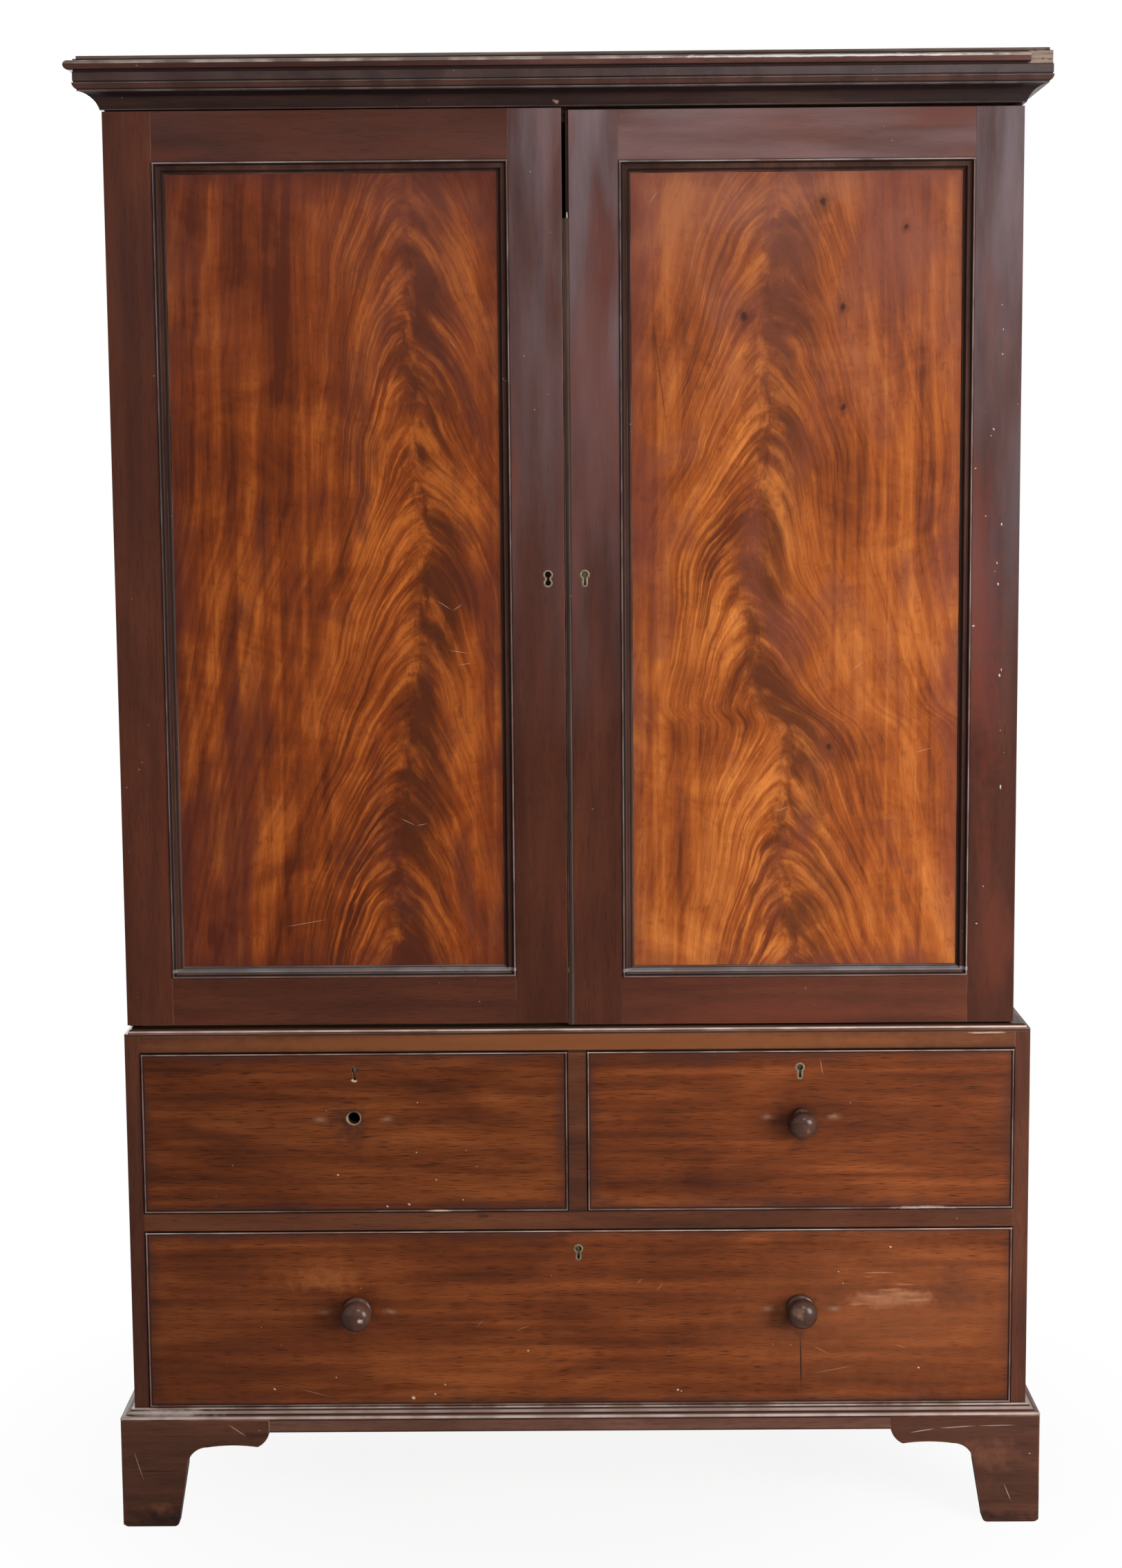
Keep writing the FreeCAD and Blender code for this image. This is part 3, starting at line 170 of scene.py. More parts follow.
def polish(name, run, dark, mid, light, start=0.0, gloss=0.36, shine=0.09, worn=(0.30, 0.14, 0.08),
           wear=0.6, round_edge=0.0015, corner_shade=0.5, specks=0.35, fibre=0.5, top_dust_and_light=0.0, across=42.0,
           band=0.35, patch=0.35):
    """Stained and waxed hardwood in three colours, worn at its edges, with painted shade in its
    corners and paler upward faces, partly dust and partly painted light. gloss is the roughness,
    shine the strength of the reflections, and band and patch say how much of the figure is broad or
    patchy."""
    made, tree, shader, where = begun(name, run)
    streak = grain(where, 2.2, across, 6.0, 0.4, start)
    broad = grain(where, 1.3, 7.0, 2.0, 1.2, start + 3)
    pore = grain(where, 38.0, 950.0, 2.0, 0.0, start)
    cloud = cloudy(where, 9.0, 6.0)
    patches = grain(where, 4.0, 15.0, 7.0, 0.8, start + 1)
    tone = added(broad, band, times(streak, 1.10 - band - patch))
    tone = added(patches, patch, tone)
    colour = ramp(tone, (0.38, dark), (0.55, mid), (0.72, light))
    colour = blended(between(pore, 0.46, 0.30, 0, fibre), colour, toned(dark, 0.45, 0.4, 0.4))
    soft, turn = rounded(tree, round_edge)
    edge = times(between(turn, 0.995, 0.86), between(cloud, 0.42, 0.62))
    colour = blended(times(edge, wear), colour, worn)
    # Painted shade: darkens corners and hollows, judged by how open each place is.
    if corner_shade:
        colour = blended(between(openness(tree, 0.012), 0.85, 0.25, 0, corner_shade), colour,
                         (0.012, 0.007, 0.006))
    # Upward faces made paler: partly settled dust, partly painted light from above.
    if top_dust_and_light:
        upwards = put(tree, "SeparateXYZ", {0: soft}).outputs[2]
        top_dust_and_light_share = times(between(upwards, 0.15, 0.75, 0, top_dust_and_light),
                      between(cloud, 0.30, 0.60, 0.35, 1))
        colour = blended(top_dust_and_light_share, colour, (0.33, 0.27, 0.24))
    dots = put(tree, "TexVoronoi", {"Vector": where, "Scale": 55.0}).outputs[0]
    dot = times(between(dots, 0.075, 0.05), between(cloud, 0.57, 0.62))
    colour = blended(times(dot, specks), colour, (0.42, 0.30, 0.23))
    rough = added(cloud, 0.22, added(edge, 0.15, gloss - 0.11))
    height = added(pore, 0.35, added(streak, 0.5, cloud))
    finished(shader, colour, rough, height, 0.35, 0.0006, soft)
    shader.inputs["Specular IOR Level"].default_value = shine
    return made


def dress(finish, *names):
    """Gives CAD nodes their finish."""
    for name in names:
        nodes[name].data.materials.clear()
        nodes[name].data.materials.append(finish)


side_finish = polish("chest_side_mahogany", "xxL", (0.034, 0.012, 0.008), (0.062, 0.020, 0.011),
                     (0.095, 0.030, 0.015), start=1.0)
dress(side_finish, "chest_side_left", "chest_side_right")


# Chest front frame: the rails and the divider that part the drawers, mahogany on the front
# edge, housed into the sides. The rails' grain runs across.
FACE = -0.2515  # where the fronts of the rails and the drawers stand


def less(first, second):
    """The second taken from the first."""
    return sums("SUBTRACT", first, second)


def painted(finish, share, colour, kind="MIX"):
    """Lays a colour over a finish as far as share says."""
    tree = finish.node_tree
    base = tree.nodes["Principled BSDF"].inputs["Base Color"]
    tree.links.new(blended(share, base.links[0].from_socket, colour, kind), base)


def mark(finish, colour, centre, size, turn=0.0, strength=0.8, fray=0.4, soft=0.6):
    """A stain, scratch, scuff, painted highlight or painted shadow: an oval of this half size,
    turned in the front plane, with a frayed edge."""
    tree = finish.node_tree
    if "Fray" not in tree.nodes:
        point = put(tree, "TexCoord").outputs["Object"]
        ragged = put(tree, "TexNoise", {"Vector": point, "Scale": 70.0, "Detail": 5.0}, name="Fray")
        put(tree, "VectorMath", {0: ragged.outputs[1], 1: (0.5, 0.5, 0.5)}, operation="SUBTRACT",
            name="Fray centred")
        tree.nodes["Fray"].inputs["Vector"].links[0].from_node.name = "Fray point"
    point = tree.nodes["Fray point"].outputs["Object"]
    place = put(tree, "Mapping", {0: point, 1: centre, 2: (0, turn, 0), 3: size},
                vector_type="TEXTURE")
    ragged = put(tree, "VectorMath", {0: tree.nodes["Fray centred"].outputs[0], 1: (fray * 4,) * 3,
                                      2: place.outputs[0]}, operation="MULTIPLY_ADD").outputs[0]
    away = put(tree, "VectorMath", {0: ragged}, operation="LENGTH").outputs["Value"]
    painted(finish, between(away, 1.0, 1.0 - soft, 0, strength), colour)


def axes(tree):
    """The piece's own x, y and z."""
    return put(tree, "SeparateXYZ", {0: put(tree, "TexCoord").outputs["Object"]}).outputs


def inward(tree, low, high):
    """How far a point lies inside the edges of a front, from low to high (x, z)."""
    apart = axes(tree)
    across, up = (sums("MINIMUM", less(apart[axis], low[side]), less(high[side], apart[axis]))
                  for axis, side in ((0, 0), (2, 1)))
    return sums("MINIMUM", across, up)


def lined(finish, place, low, high, colour, strength, broken=0.0):
    """A line along a moulding, from low to high. place is 0, 1 or 2 for x, y or z, or a rim's own
    two corners, and broken says how far the line fades in places."""
    tree = finish.node_tree
    if isinstance(place, int):
        level = axes(tree)[place]
    else:
        level = inward(tree, *place)
    soft = min(high - low, 0.002) * 0.2
    share = times(between(level, low - soft, low + soft, 0, strength),
                  between(level, high + soft, high - soft))
    if broken:
        cloud = cloudy(put(tree, "TexCoord").outputs["Object"], 18.0, 6.0)
        share = times(share, between(cloud, 0.42, 0.60, 1 - broken, 1))
    painted(finish, share, colour)


rail_finish = polish("drawer_rail_mahogany", "Lxx", (0.038, 0.014, 0.008), (0.078, 0.025, 0.012),
                     (0.125, 0.042, 0.018), start=2.0, worn=(0.36, 0.19, 0.12))
mark(rail_finish, (0.235, 0.078, 0.024), (0.0, FACE, 0.729), (0.75, 0.05, 0.020), strength=0.5,
     fray=0.1, soft=0.5)
# Painted shade: dark lines along the rail edges, in the gaps by the drawers.
for low, high in ((0.7135, 0.7180), (0.4735, 0.4768), (0.4452, 0.4480)):
    lined(rail_finish, 2, low, high, (0.016, 0.008, 0.006), 0.85)
mark(rail_finish, (0.45, 0.30, 0.21), (0.61, FACE, 0.7395), (0.034, 0.01, 0.0016), strength=0.7)
mark(rail_finish, (0.030, 0.012, 0.009), (-0.13, FACE, 0.4686), (0.010, 0.01, 0.004), strength=0.8)
dress(rail_finish, "chest_front_frame")


# Plinth moulding and bracket feet: mitred mahogany, nailed and glued under the chest,
# the moulding's top worn pale, with painted highlights on its rounds and painted shade in its
# quirks.
def scratch(finish, first, last, width=0.0005, colour=(0.36, 0.22, 0.15), strength=0.7, y=FACE):
    """A fine scratch from one point (x, z) of a front to another."""
    (x1, z1), (x2, z2) = first, last
    long = math.hypot(x2 - x1, z2 - z1) / 2
    mark(finish, colour, ((x1 + x2) / 2, y, (z1 + z2) / 2), (long, 0.01, width),
         -math.atan2(z2 - z1, x2 - x1), strength, fray=0.12, soft=0.5)


# The first colour is painted shade for the moulding's quirks; the second darkens patches of the
# feet.
QUIRK_SHADE, DARK_PATCH = (0.020, 0.010, 0.008), (0.012, 0.008, 0.007)
plinth_finish = polish("plinth_mahogany", "Lxx", (0.050, 0.021, 0.015), (0.104, 0.045, 0.030),
                       (0.165, 0.076, 0.050), start=3.0, worn=(0.50, 0.38, 0.32), wear=0.8)
# Lines along the moulding: the dark ones are painted shade in the quirks, the pale ones wear with
# painted highlights on the rounds.
for low, high, colour, strength, broken in (
    (0.1445, 0.1470, QUIRK_SHADE, 0.7, 0.2),
    (0.1622, 0.1643, (0.018, 0.009, 0.007), 0.9, 0.1),
    (0.1646, 0.1688, (0.460, 0.350, 0.310), 0.90, 0.4),
    (0.1692, 0.1705, (0.022, 0.011, 0.009), 0.8, 0.2),
    (0.1706, 0.1738, (0.340, 0.250, 0.220), 0.85, 0.4),
    (0.1740, 0.1762, QUIRK_SHADE, 0.85, 0.1),
    (0.1764, 0.1785, (0.500, 0.390, 0.330), 0.90, 0.7),
):
    lined(plinth_finish, 2, low, high, colour, strength, broken)
mark(plinth_finish, (0.50, 0.42, 0.37), (-0.60, -0.268, 0.172), (0.085, 0.02, 0.008), strength=0.8,
     fray=0.3, soft=0.9)
dress(plinth_finish, "plinth_moulding")
foot_finish = polish("foot_mahogany", "Lxx", (0.030, 0.013, 0.009), (0.066, 0.025, 0.015),
                     (0.110, 0.040, 0.021), start=4.0, specks=0.8, wear=0.95, round_edge=0.0025,
                     worn=(0.32, 0.19, 0.13))
FOOT = -0.27
# Patches on the feet: dark ones, two of them along the foot of the front feet, and orange-brown
# ones.
for colour, centre, size, strength in (
    (DARK_PATCH, (-0.60, FOOT, 0.012), (0.10, 0.05, 0.020), 0.85),
    ((0.150, 0.052, 0.022), (-0.619, FOOT, 0.030), (0.030, 0.02, 0.009), 0.55),
    (DARK_PATCH, (-0.567, FOOT, 0.055), (0.012, 0.02, 0.040), 0.6),
    (DARK_PATCH, (0.60, FOOT, 0.008), (0.10, 0.05, 0.012), 0.85),
    ((0.145, 0.055, 0.030), (0.62, FOOT, 0.105), (0.050, 0.02, 0.030), 0.55),
    ((0.090, 0.032, 0.018), (0.61, FOOT, 0.052), (0.036, 0.02, 0.028), 0.5),
    (DARK_PATCH, (-0.470, FOOT, 0.140), (0.030, 0.02, 0.007), 0.6),
):
    mark(foot_finish, colour, centre, size, strength=strength, fray=0.5, soft=0.9)
for first, last, width, colour in (
    ((-0.669, 0.086), (-0.578, 0.0854), 0.0009, (0.014, 0.008, 0.006)),
    ((-0.5135, 0.158), (-0.4855, 0.1383), 0.0008, (0.36, 0.25, 0.19)),
    ((0.498, 0.1385), (0.540, 0.1452), 0.0009, (0.33, 0.24, 0.20)),
    ((0.540, 0.1452), (0.600, 0.1488), 0.0009, (0.33, 0.24, 0.20)),
    ((0.600, 0.1488), (0.660, 0.1496), 0.0008, (0.28, 0.20, 0.17)),
    ((-0.655, 0.120), (-0.640, 0.070), 0.0007, (0.30, 0.20, 0.15)),
    ((0.640, 0.060), (0.652, 0.030), 0.0007, (0.34, 0.24, 0.18)),
):
    scratch(foot_finish, first, last, width, colour, 0.8, FOOT)
dress(foot_finish, "foot_front_left", "foot_front_right", "foot_rear")


# Chest back, bottom and the boards between the drawers: pine, planed and left bare,
# brown with age.
def bare(name, run, dark, light, start=0.0, rough=0.72, ray=0.0, boards=None):
    """Bare planed wood, browned by age. ray is the share of pale flecks that oak has, and boards
    gives the first board's left edge, their width and the heights of their nails, where they stand
    side by side."""
    made, tree, shader, where = begun(name, run)
    if boards:
        first_edge, width, nail_rows = boards
        apart = put(tree, "SeparateXYZ", {0: where}).outputs
        along = less(apart[0], first_edge)
        which = sums("FLOOR", sums("DIVIDE", along, width))
        shift = times(which, 3.7)
        joint = sums("PINGPONG", along, width / 2)
        aside = put(tree, "CombineXYZ", {0: shift, 2: shift}).outputs[0]
        where = put(tree, "VectorMath", {0: where, 1: aside}, operation="ADD").outputs[0]
        where.node["run"] = run
    ring = grain(where, 1.4, 60.0, 3.0, 1.4, start)
    fine = grain(where, 20.0, 500.0, 3.0, 0.0, start)
    cloud = cloudy(where, 5.0, 6.0)
    colour = ramp(ring, (0.30, dark), (0.52, light), (0.75, dark))
    colour = blended(between(fine, 0.55, 0.35, 0, 0.45), colour, toned(dark, 0.5))
    colour = blended(between(cloud, 0.55, 0.75, 0, 0.5), colour, toned(dark, 0.4, 0.4, 0.45))
    if ray:
        fleck = grain(where, 30.0, 140.0, 1.0, 0.6, start + 7)
        colour = blended(between(fleck, 0.62, 0.70, 0, ray), colour, toned(light, 1.4, 1.4, 1.5))
    if boards:
        own = put(tree, "TexWhiteNoise", {1: which}, noise_dimensions="1D").outputs[0]
        gaps = [sums("ABSOLUTE", less(apart[2], row)) for row in nail_rows]
        gap = sums("MINIMUM", sums("MINIMUM", gaps[0], gaps[1]), gaps[2])
        nail = put(tree, "CombineXYZ", {0: less(joint, 0.03), 1: gap}).outputs[0]
        nail = put(tree, "VectorMath", {0: nail}, operation="LENGTH").outputs["Value"]
        for share, shade in (
            (between(own, 0, 1, 0, 0.45), dark),
            (between(joint, 0.0016, 0.0008, 0, 0.9), (0.012, 0.008, 0.006)),
            (between(nail, 0.016, 0.003, 0, 0.5), (0.05, 0.03, 0.02)),
            (between(nail, 0.0036, 0.0028, 0, 0.95), (0.020, 0.016, 0.014)),
        ):
            colour = blended(share, colour, shade)
    # Painted shade in corners and hollows, where little light reaches.
    colour = blended(between(openness(tree, 0.03), 0.8, 0.2, 0, 0.6), colour,
                     (0.03, 0.02, 0.014))
    rough = between(fine, 0.3, 0.7, rough, rough + 0.18)
    finished(shader, colour, rough, sums("ADD", fine, ring), 0.4, 0.0006, rounded(tree, 0.001)[0])
    shader.inputs["Specular IOR Level"].default_value = 0.2
    return made


PINE_DARK, PINE_LIGHT = (0.17, 0.085, 0.036), (0.31, 0.175, 0.082)
chest_back_pine = bare("chest_back_pine", "xxL", PINE_DARK, PINE_LIGHT, start=5.0,
                       boards=(-0.6321, 0.2569, (0.185, 0.45, 0.72)))
level_pine = bare("level_pine", "Lxx", PINE_DARK, PINE_LIGHT, start=6.0)
runner_pine = bare("runner_pine", "xLx", PINE_DARK, PINE_LIGHT, start=7.0)
dress(chest_back_pine, "chest_back")
dress(level_pine, "chest_bottom", "dust_board")
dress(runner_pine, "drawer_runners")


# Drawer fronts: solid mahogany with mitred beads let in round the edge, rubbed and waxed,
# with the plugged holes of an older handle beside each knob.
def darker_edges(finish, low, high, width, colour, strength):
    """Darkens a front towards its four edges."""
    tree = finish.node_tree
    cloud = cloudy(put(tree, "TexCoord").outputs["Object"], 14.0, 5.0)
    gap = added(less(cloud, 0.5), -width * 2.2, inward(tree, low, high))
    painted(finish, between(gap, width, 0, 0, strength), colour)


front_colours = ((0.050, 0.0125, 0.0045), (0.118, 0.028, 0.0075), (0.215, 0.058, 0.0145))
# The left short front takes the colours darkened to 0.84, a painted shade for the light falling off
# to the left.
left_front, right_front, long_front = (
    polish(name + "_drawer_mahogany", "Lxx", *(toned(colour, depth) for colour in front_colours),
           start=start, worn=(0.42, 0.24, 0.17), across=66.0, band=0.12, patch=0.52, fibre=0.8)
    for name, start, depth in (("left", 8.0, 0.84), ("right", 11.0, 1.0), ("long", 14.0, 0.98)))
for finish, node, bead in ((left_front, "short_drawer_left_front", 0.55),
                           (right_front, "short_drawer_right_front", 0.55),
                           (long_front, "long_drawer_front", 0.9)):
    low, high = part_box(node)
    corners = (low.x, low.z), (high.x, high.z)
    darker_edges(finish, *corners, 0.020, (0.036, 0.015, 0.012), 0.6)
    # Painted shade in the gap round each front and in the quirk inside its bead; the pale bead
    # lines are wear with painted highlights, strongest on the top bead.
    lined(finish, corners, -0.01, 0.0009, (0.010, 0.006, 0.005), 0.95)
    lined(finish, corners, 0.0010, 0.0026, (0.26, 0.17, 0.13), 0.45, 0.9)
    lined(finish, corners, 0.0030, 0.0048, (0.012, 0.007, 0.006), 0.85, 0.3)
    lined(finish, (corners[0], (high.x, 2.0)), 0.0012, 0.0028, (0.22, 0.17, 0.16), 0.5, 0.7)
    lined(finish, ((low.x - 1, low.z - 1), (high.x + 1, high.z)), 0.0010, 0.0027,
          (0.46, 0.33, 0.27), bead, 0.55)
# Painted light: the long front is lighter towards its right end and darker towards its left, as the
# light falls.
mark(long_front, (0.290, 0.096, 0.034), (0.47, FACE, 0.31), (0.30, 0.02, 0.14), 0, 0.30, 0.2, 1.0)
mark(long_front, (0.050, 0.0125, 0.0045), (-0.60, FACE, 0.30), (0.30, 0.02, 0.16), 0, 0.30, 0.2,
     1.0)
LEFT_KNOB, RIGHT_KNOB, SHORT_KNOB_HEIGHT, LONG_KNOB_HEIGHT = -0.319, 0.339, 0.617, 0.325
PLUG_AWAY = 0.049
for finish, knob_x, knob_z in (
    (left_front, LEFT_KNOB, SHORT_KNOB_HEIGHT), (right_front, RIGHT_KNOB, SHORT_KNOB_HEIGHT),
    (long_front, LEFT_KNOB, LONG_KNOB_HEIGHT), (long_front, RIGHT_KNOB, LONG_KNOB_HEIGHT),
):
    # Painted shadow below and to the left of each knob, and of the empty knob hole on the left
    # short front.
    mark(finish, (0.026, 0.011, 0.009), (knob_x - 0.006, FACE, knob_z - 0.010),
         (0.036, 0.01, 0.034), strength=0.8, soft=0.95)
    for side in (-1, 1):
        plug = knob_x + side * PLUG_AWAY, FACE, knob_z - 0.002
        mark(finish, (0.20, 0.105, 0.062), plug, (0.015, 0.01, 0.0068), strength=0.50, fray=0.2,
             soft=0.95)
        mark(finish, (0.27, 0.16, 0.10), plug, (0.007, 0.01, 0.0038), strength=0.35, fray=0.3,
             soft=0.9)
# The empty knob hole: a pale painted ring for its lit inner wall and, above it, a dark painted
# centre for its shaded depth.
mark(left_front, (0.50, 0.36, 0.25), (LEFT_KNOB, FACE, SHORT_KNOB_HEIGHT),
     (0.0115, 0.01, 0.0115), strength=0.9, fray=0.12, soft=0.3)
mark(left_front, (0.030, 0.013, 0.010), (LEFT_KNOB, FACE, 0.622), (0.0108, 0.01, 0.0100),
     strength=0.85, fray=0.12, soft=0.5)
mark(left_front, (0.55, 0.40, 0.28), (-0.317, FACE, 0.674), (0.0055, 0.01, 0.003), strength=0.95)
for x, z, wide, high, strength in (
    (0.470, 0.338, 0.075, 0.0160, 0.38), (0.500, 0.346, 0.034, 0.0050, 0.42),
    (0.476, 0.352, 0.030, 0.0030, 0.40), (0.512, 0.336, 0.026, 0.0026, 0.36),
    (0.448, 0.342, 0.026, 0.0026, 0.34), (0.492, 0.360, 0.020, 0.0016, 0.40),
    (0.455, 0.378, 0.030, 0.0014, 0.60), (0.440, 0.372, 0.012, 0.0009, 0.50),
    (0.425, 0.330, 0.020, 0.0022, 0.35),
):
    mark(long_front, (0.44, 0.205, 0.105), (x, FACE, z), (wide, 0.01, high), strength=strength,
         fray=0.30, soft=0.95)
mark(long_front, (0.33, 0.110, 0.030), (-0.37, FACE, 0.372), (0.060, 0.01, 0.022), strength=0.45,
     fray=0.5, soft=0.95)
mark(long_front, (0.060, 0.020, 0.012), (0.565, FACE, 0.36), (0.045, 0.01, 0.05), strength=0.5,
     fray=0.5, soft=0.95)
scratch(long_front, (0.3382, 0.292), (0.3405, 0.190), 0.0015, (0.022, 0.010, 0.008), 0.95)
scratch(right_front, (0.366, 0.704), (0.371, 0.676), 0.0008, strength=0.5)
for finish, specks in (
    (long_front, ((-0.445, 0.205, 0.0022), (-0.352, 0.222, 0.0014), (-0.205, 0.196, 0.0022),
                  (-0.190, 0.210, 0.0016), (-0.238, 0.190, 0.0030), (0.157, 0.200, 0.0022),
                  (0.162, 0.198, 0.0014), (0.472, 0.417, 0.0020), (0.395, 0.380, 0.0012),
                  (0.402, 0.362, 0.0012), (0.515, 0.232, 0.0018), (-0.066, 0.262, 0.0018))),
    (left_front, ((-0.344, 0.532, 0.0020), (-0.228, 0.565, 0.0014), (-0.225, 0.640, 0.0014),
                  (-0.199, 0.523, 0.0016), (-0.240, 0.487, 0.0022), (-0.272, 0.4835, 0.0020),
                  (-0.160, 0.493, 0.0014))),
):
    for x, z, size in specks:
        mark(finish, (0.60, 0.48, 0.38), (x, FACE, z), (size, 0.01, size * 0.8), 0.5, 0.8, 0.5)
BEAD_FACE = -0.2535
mark(left_front, (0.55, 0.40, 0.26), (-0.195, BEAD_FACE, 0.4772), (0.022, 0.01, 0.0016),
     strength=0.9, fray=0.1)
mark(right_front, (0.42, 0.30, 0.24), (0.515, BEAD_FACE, 0.4775), (0.050, 0.01, 0.0022),
     strength=0.8, fray=0.5)
for first, last in (((-0.085, 0.292), (-0.062, 0.301)), ((-0.142, 0.298), (-0.132, 0.310)),
                    ((-0.41, 0.206), (-0.36, 0.192)), ((0.478, 0.268), (0.498, 0.262)),
                    ((0.36, 0.225), (0.42, 0.236)), ((0.125, 0.352), (0.136, 0.366)),
                    ((0.355, 0.268), (0.385, 0.252)), ((0.095, 0.362), (0.105, 0.372))):
    scratch(long_front, first, last, 0.0005, strength=0.5)
dress(left_front, "short_drawer_left_front")
dress(right_front, "short_drawer_right_front")
dress(long_front, "long_drawer_front")


# Drawer boxes: thin oak sides and backs with a bottom of oak boards, left bare. The sides are
# dovetailed to the mahogany front, whose dark pins show between their tails.
OAK_DARK, OAK_LIGHT = (0.17, 0.095, 0.042), (0.29, 0.175, 0.085)
for name, start, tails in (("short_drawer_left_box", 9.0, 5), ("short_drawer_right_box", 10.0, 5),
                           ("long_drawer_box", 11.0, 6)):
    oak = bare(name + "_oak", "xLx", OAK_DARK, OAK_LIGHT, start=start, ray=0.4)
    low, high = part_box(name)
    tree = oak.node_tree
    apart = axes(tree)
    back = less(apart[1], low.y)
    pitch = (high.z - low.z) / tails
    step = sums("PINGPONG", less(apart[2], low.z), pitch / 2)
    pins = between(added(back, -0.30, step), 0.0042, 0.0036)
    outside = between(inward(tree, (low.x, -1), (high.x, 4)), 0.0010, 0.0006)
    pins = times(times(pins, between(back, 0.0145, 0.0140)), outside)
    painted(oak, pins, (0.085, 0.030, 0.013))
    dress(oak, name)


# Locks, their bolts and the keyhole rims: cast brass, yellow-brown with age, rubbed bright
# where fingers and keys touch it.
def brass(name, base, bright, rough):
    """Old brass, dull in its corners and bright on its edges."""
    made, tree, shader, where = begun(name)
    cloud = cloudy(where, 160.0, 5.0)
    soft, turn = rounded(tree, 0.0006)
    colour = ramp(cloud, (0.35, toned(base, 0.55)), (0.62, base))
    colour = blended(between(turn, 0.99, 0.80, 0, 0.8), colour, bright)
    colour = blended(between(openness(tree, 0.004), 0.8, 0.3, 0, 0.8), colour,
                     (0.02, 0.014, 0.01))
    rough = between(cloud, 0.3, 0.7, rough + 0.12, rough)
    finished(shader, colour, rough, cloud, 0.3, 0.0002, soft)
    shader.inputs["Metallic"].default_value = 0.85
    return made


old_brass = brass("old_brass", (0.25, 0.19, 0.115), (0.60, 0.53, 0.40), 0.34)
dress(old_brass, "short_drawer_left_lock", "short_drawer_right_lock", "long_drawer_lock",
      "short_drawer_left_lock_bolt", "short_drawer_right_lock_bolt", "long_drawer_lock_bolt")


# Screws: slotted iron, turned and countersunk into the plates of the locks, the hinges and the
# door bolts. Those of the drawer locks come here, the others with the doors' brasses.
iron = brass("screw_iron", (0.085, 0.075, 0.065), (0.30, 0.27, 0.23), 0.42)


def screws(name, body, places, y, facing, radius):
    """Screw heads at these places (x, z) of a plate whose face is at y and looks along facing."""
    bpy.ops.object.select_all(action="DESELECT")
    x, z = places[0]
    bpy.ops.mesh.primitive_cylinder_add(vertices=20, radius=radius, depth=0.0012,
                                        location=(x, y - facing * 0.00045, z),
                                        rotation=(math.pi / 2, 0, 0))
    made = bpy.context.object
    made.name = name
    bpy.ops.object.transform_apply(location=True, rotation=True, scale=True)
    bpy.ops.object.mode_set(mode="EDIT")
    for offset in (-0.16, 0.16):
        bpy.ops.mesh.select_all(action="SELECT")
        bpy.ops.mesh.bisect(plane_co=(x, y, z + offset * radius), plane_no=(0.3, 0, 1))
    solid = bmesh.from_edit_mesh(made.data)
    for face in solid.faces:
        middle = face.calc_center_median()
        in_slot = abs(middle.z - z + 0.3 * (middle.x - x)) < 0.1 * radius
        face.select_set(face.normal.y * facing > 0.9 and in_slot)
    bmesh.update_edit_mesh(made.data)
    bpy.ops.mesh.extrude_region_move(TRANSFORM_OT_translate={"value": (0, -facing * 0.0004, 0)})
    bpy.ops.mesh.select_all(action="SELECT")
    for (x1, z1), (x2, z2) in zip(places, places[1:]):
        bpy.ops.mesh.duplicate_move(TRANSFORM_OT_translate={"value": (x2 - x1, 0, z2 - z1)})
    bpy.ops.object.mode_set(mode="OBJECT")
    bpy.ops.object.shade_smooth_by_angle(angle=math.radians(30))
    made.data.materials.append(iron)
    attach(made, body)


DRAWER_LOCK_BACK = -0.2315
for body in ("short_drawer_left", "short_drawer_right", "long_drawer"):
    low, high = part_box(body + "_lock")
    left, right, foot, head = high.x - 0.058, high.x - 0.006, high.z - 0.038, high.z - 0.020
    screws(body + "_lock_screws", body,
           ((left, foot), (right, foot), (right, head), (left, head)), DRAWER_LOCK_BACK, 1, 0.0024)


# Knobs: turned hardwood with a spigot glued into the drawer front, dark and shiny from hands.
# The right short drawer's is a slimmer pattern and has sagged in its hole.
knob_wood = polish("knob_wood", "xLx", (0.028, 0.012, 0.008), (0.062, 0.026, 0.016),
                   (0.115, 0.048, 0.028), start=12.0, gloss=0.17, shine=0.20, corner_shade=0.2, specks=0.9)


def turned(name, x, z, outline, droop=0.0):
    """Turns a knob on its spigot: outline gives (radius, distance out of the drawer front)."""
    bpy.ops.object.select_all(action="DESELECT")
    bpy.ops.mesh.primitive_plane_add(size=0.01, location=(x, FACE + 0.02, z))
    made = bpy.context.object
    made.name = name
    bpy.ops.object.mode_set(mode="EDIT")
    bpy.ops.mesh.merge(type="CENTER")
    here = (0.0, -0.02)
    for radius, out in outline:
        move = (radius - here[0], here[1] - out, 0)
        bpy.ops.mesh.extrude_region_move(TRANSFORM_OT_translate={"value": move})
        here = (radius, out)
    bpy.ops.mesh.select_all(action="SELECT")
    bpy.ops.mesh.spin(steps=40, angle=2 * math.pi, center=(x, FACE, z), axis=(0, 1, 0))
    bpy.ops.mesh.select_all(action="SELECT")
    bpy.ops.mesh.remove_doubles(threshold=0.00002)
    bpy.ops.mesh.normals_make_consistent(inside=False)
    if droop:
        bpy.ops.transform.rotate(value=droop, orient_axis="X",
                                 center_override=(x, FACE + 0.004, z))
    bpy.ops.object.mode_set(mode="OBJECT")
    bpy.ops.object.transform_apply(location=True, rotation=True, scale=True)
    bpy.ops.object.shade_smooth_by_angle(angle=math.radians(50))
    made.data.materials.append(knob_wood)
    return made


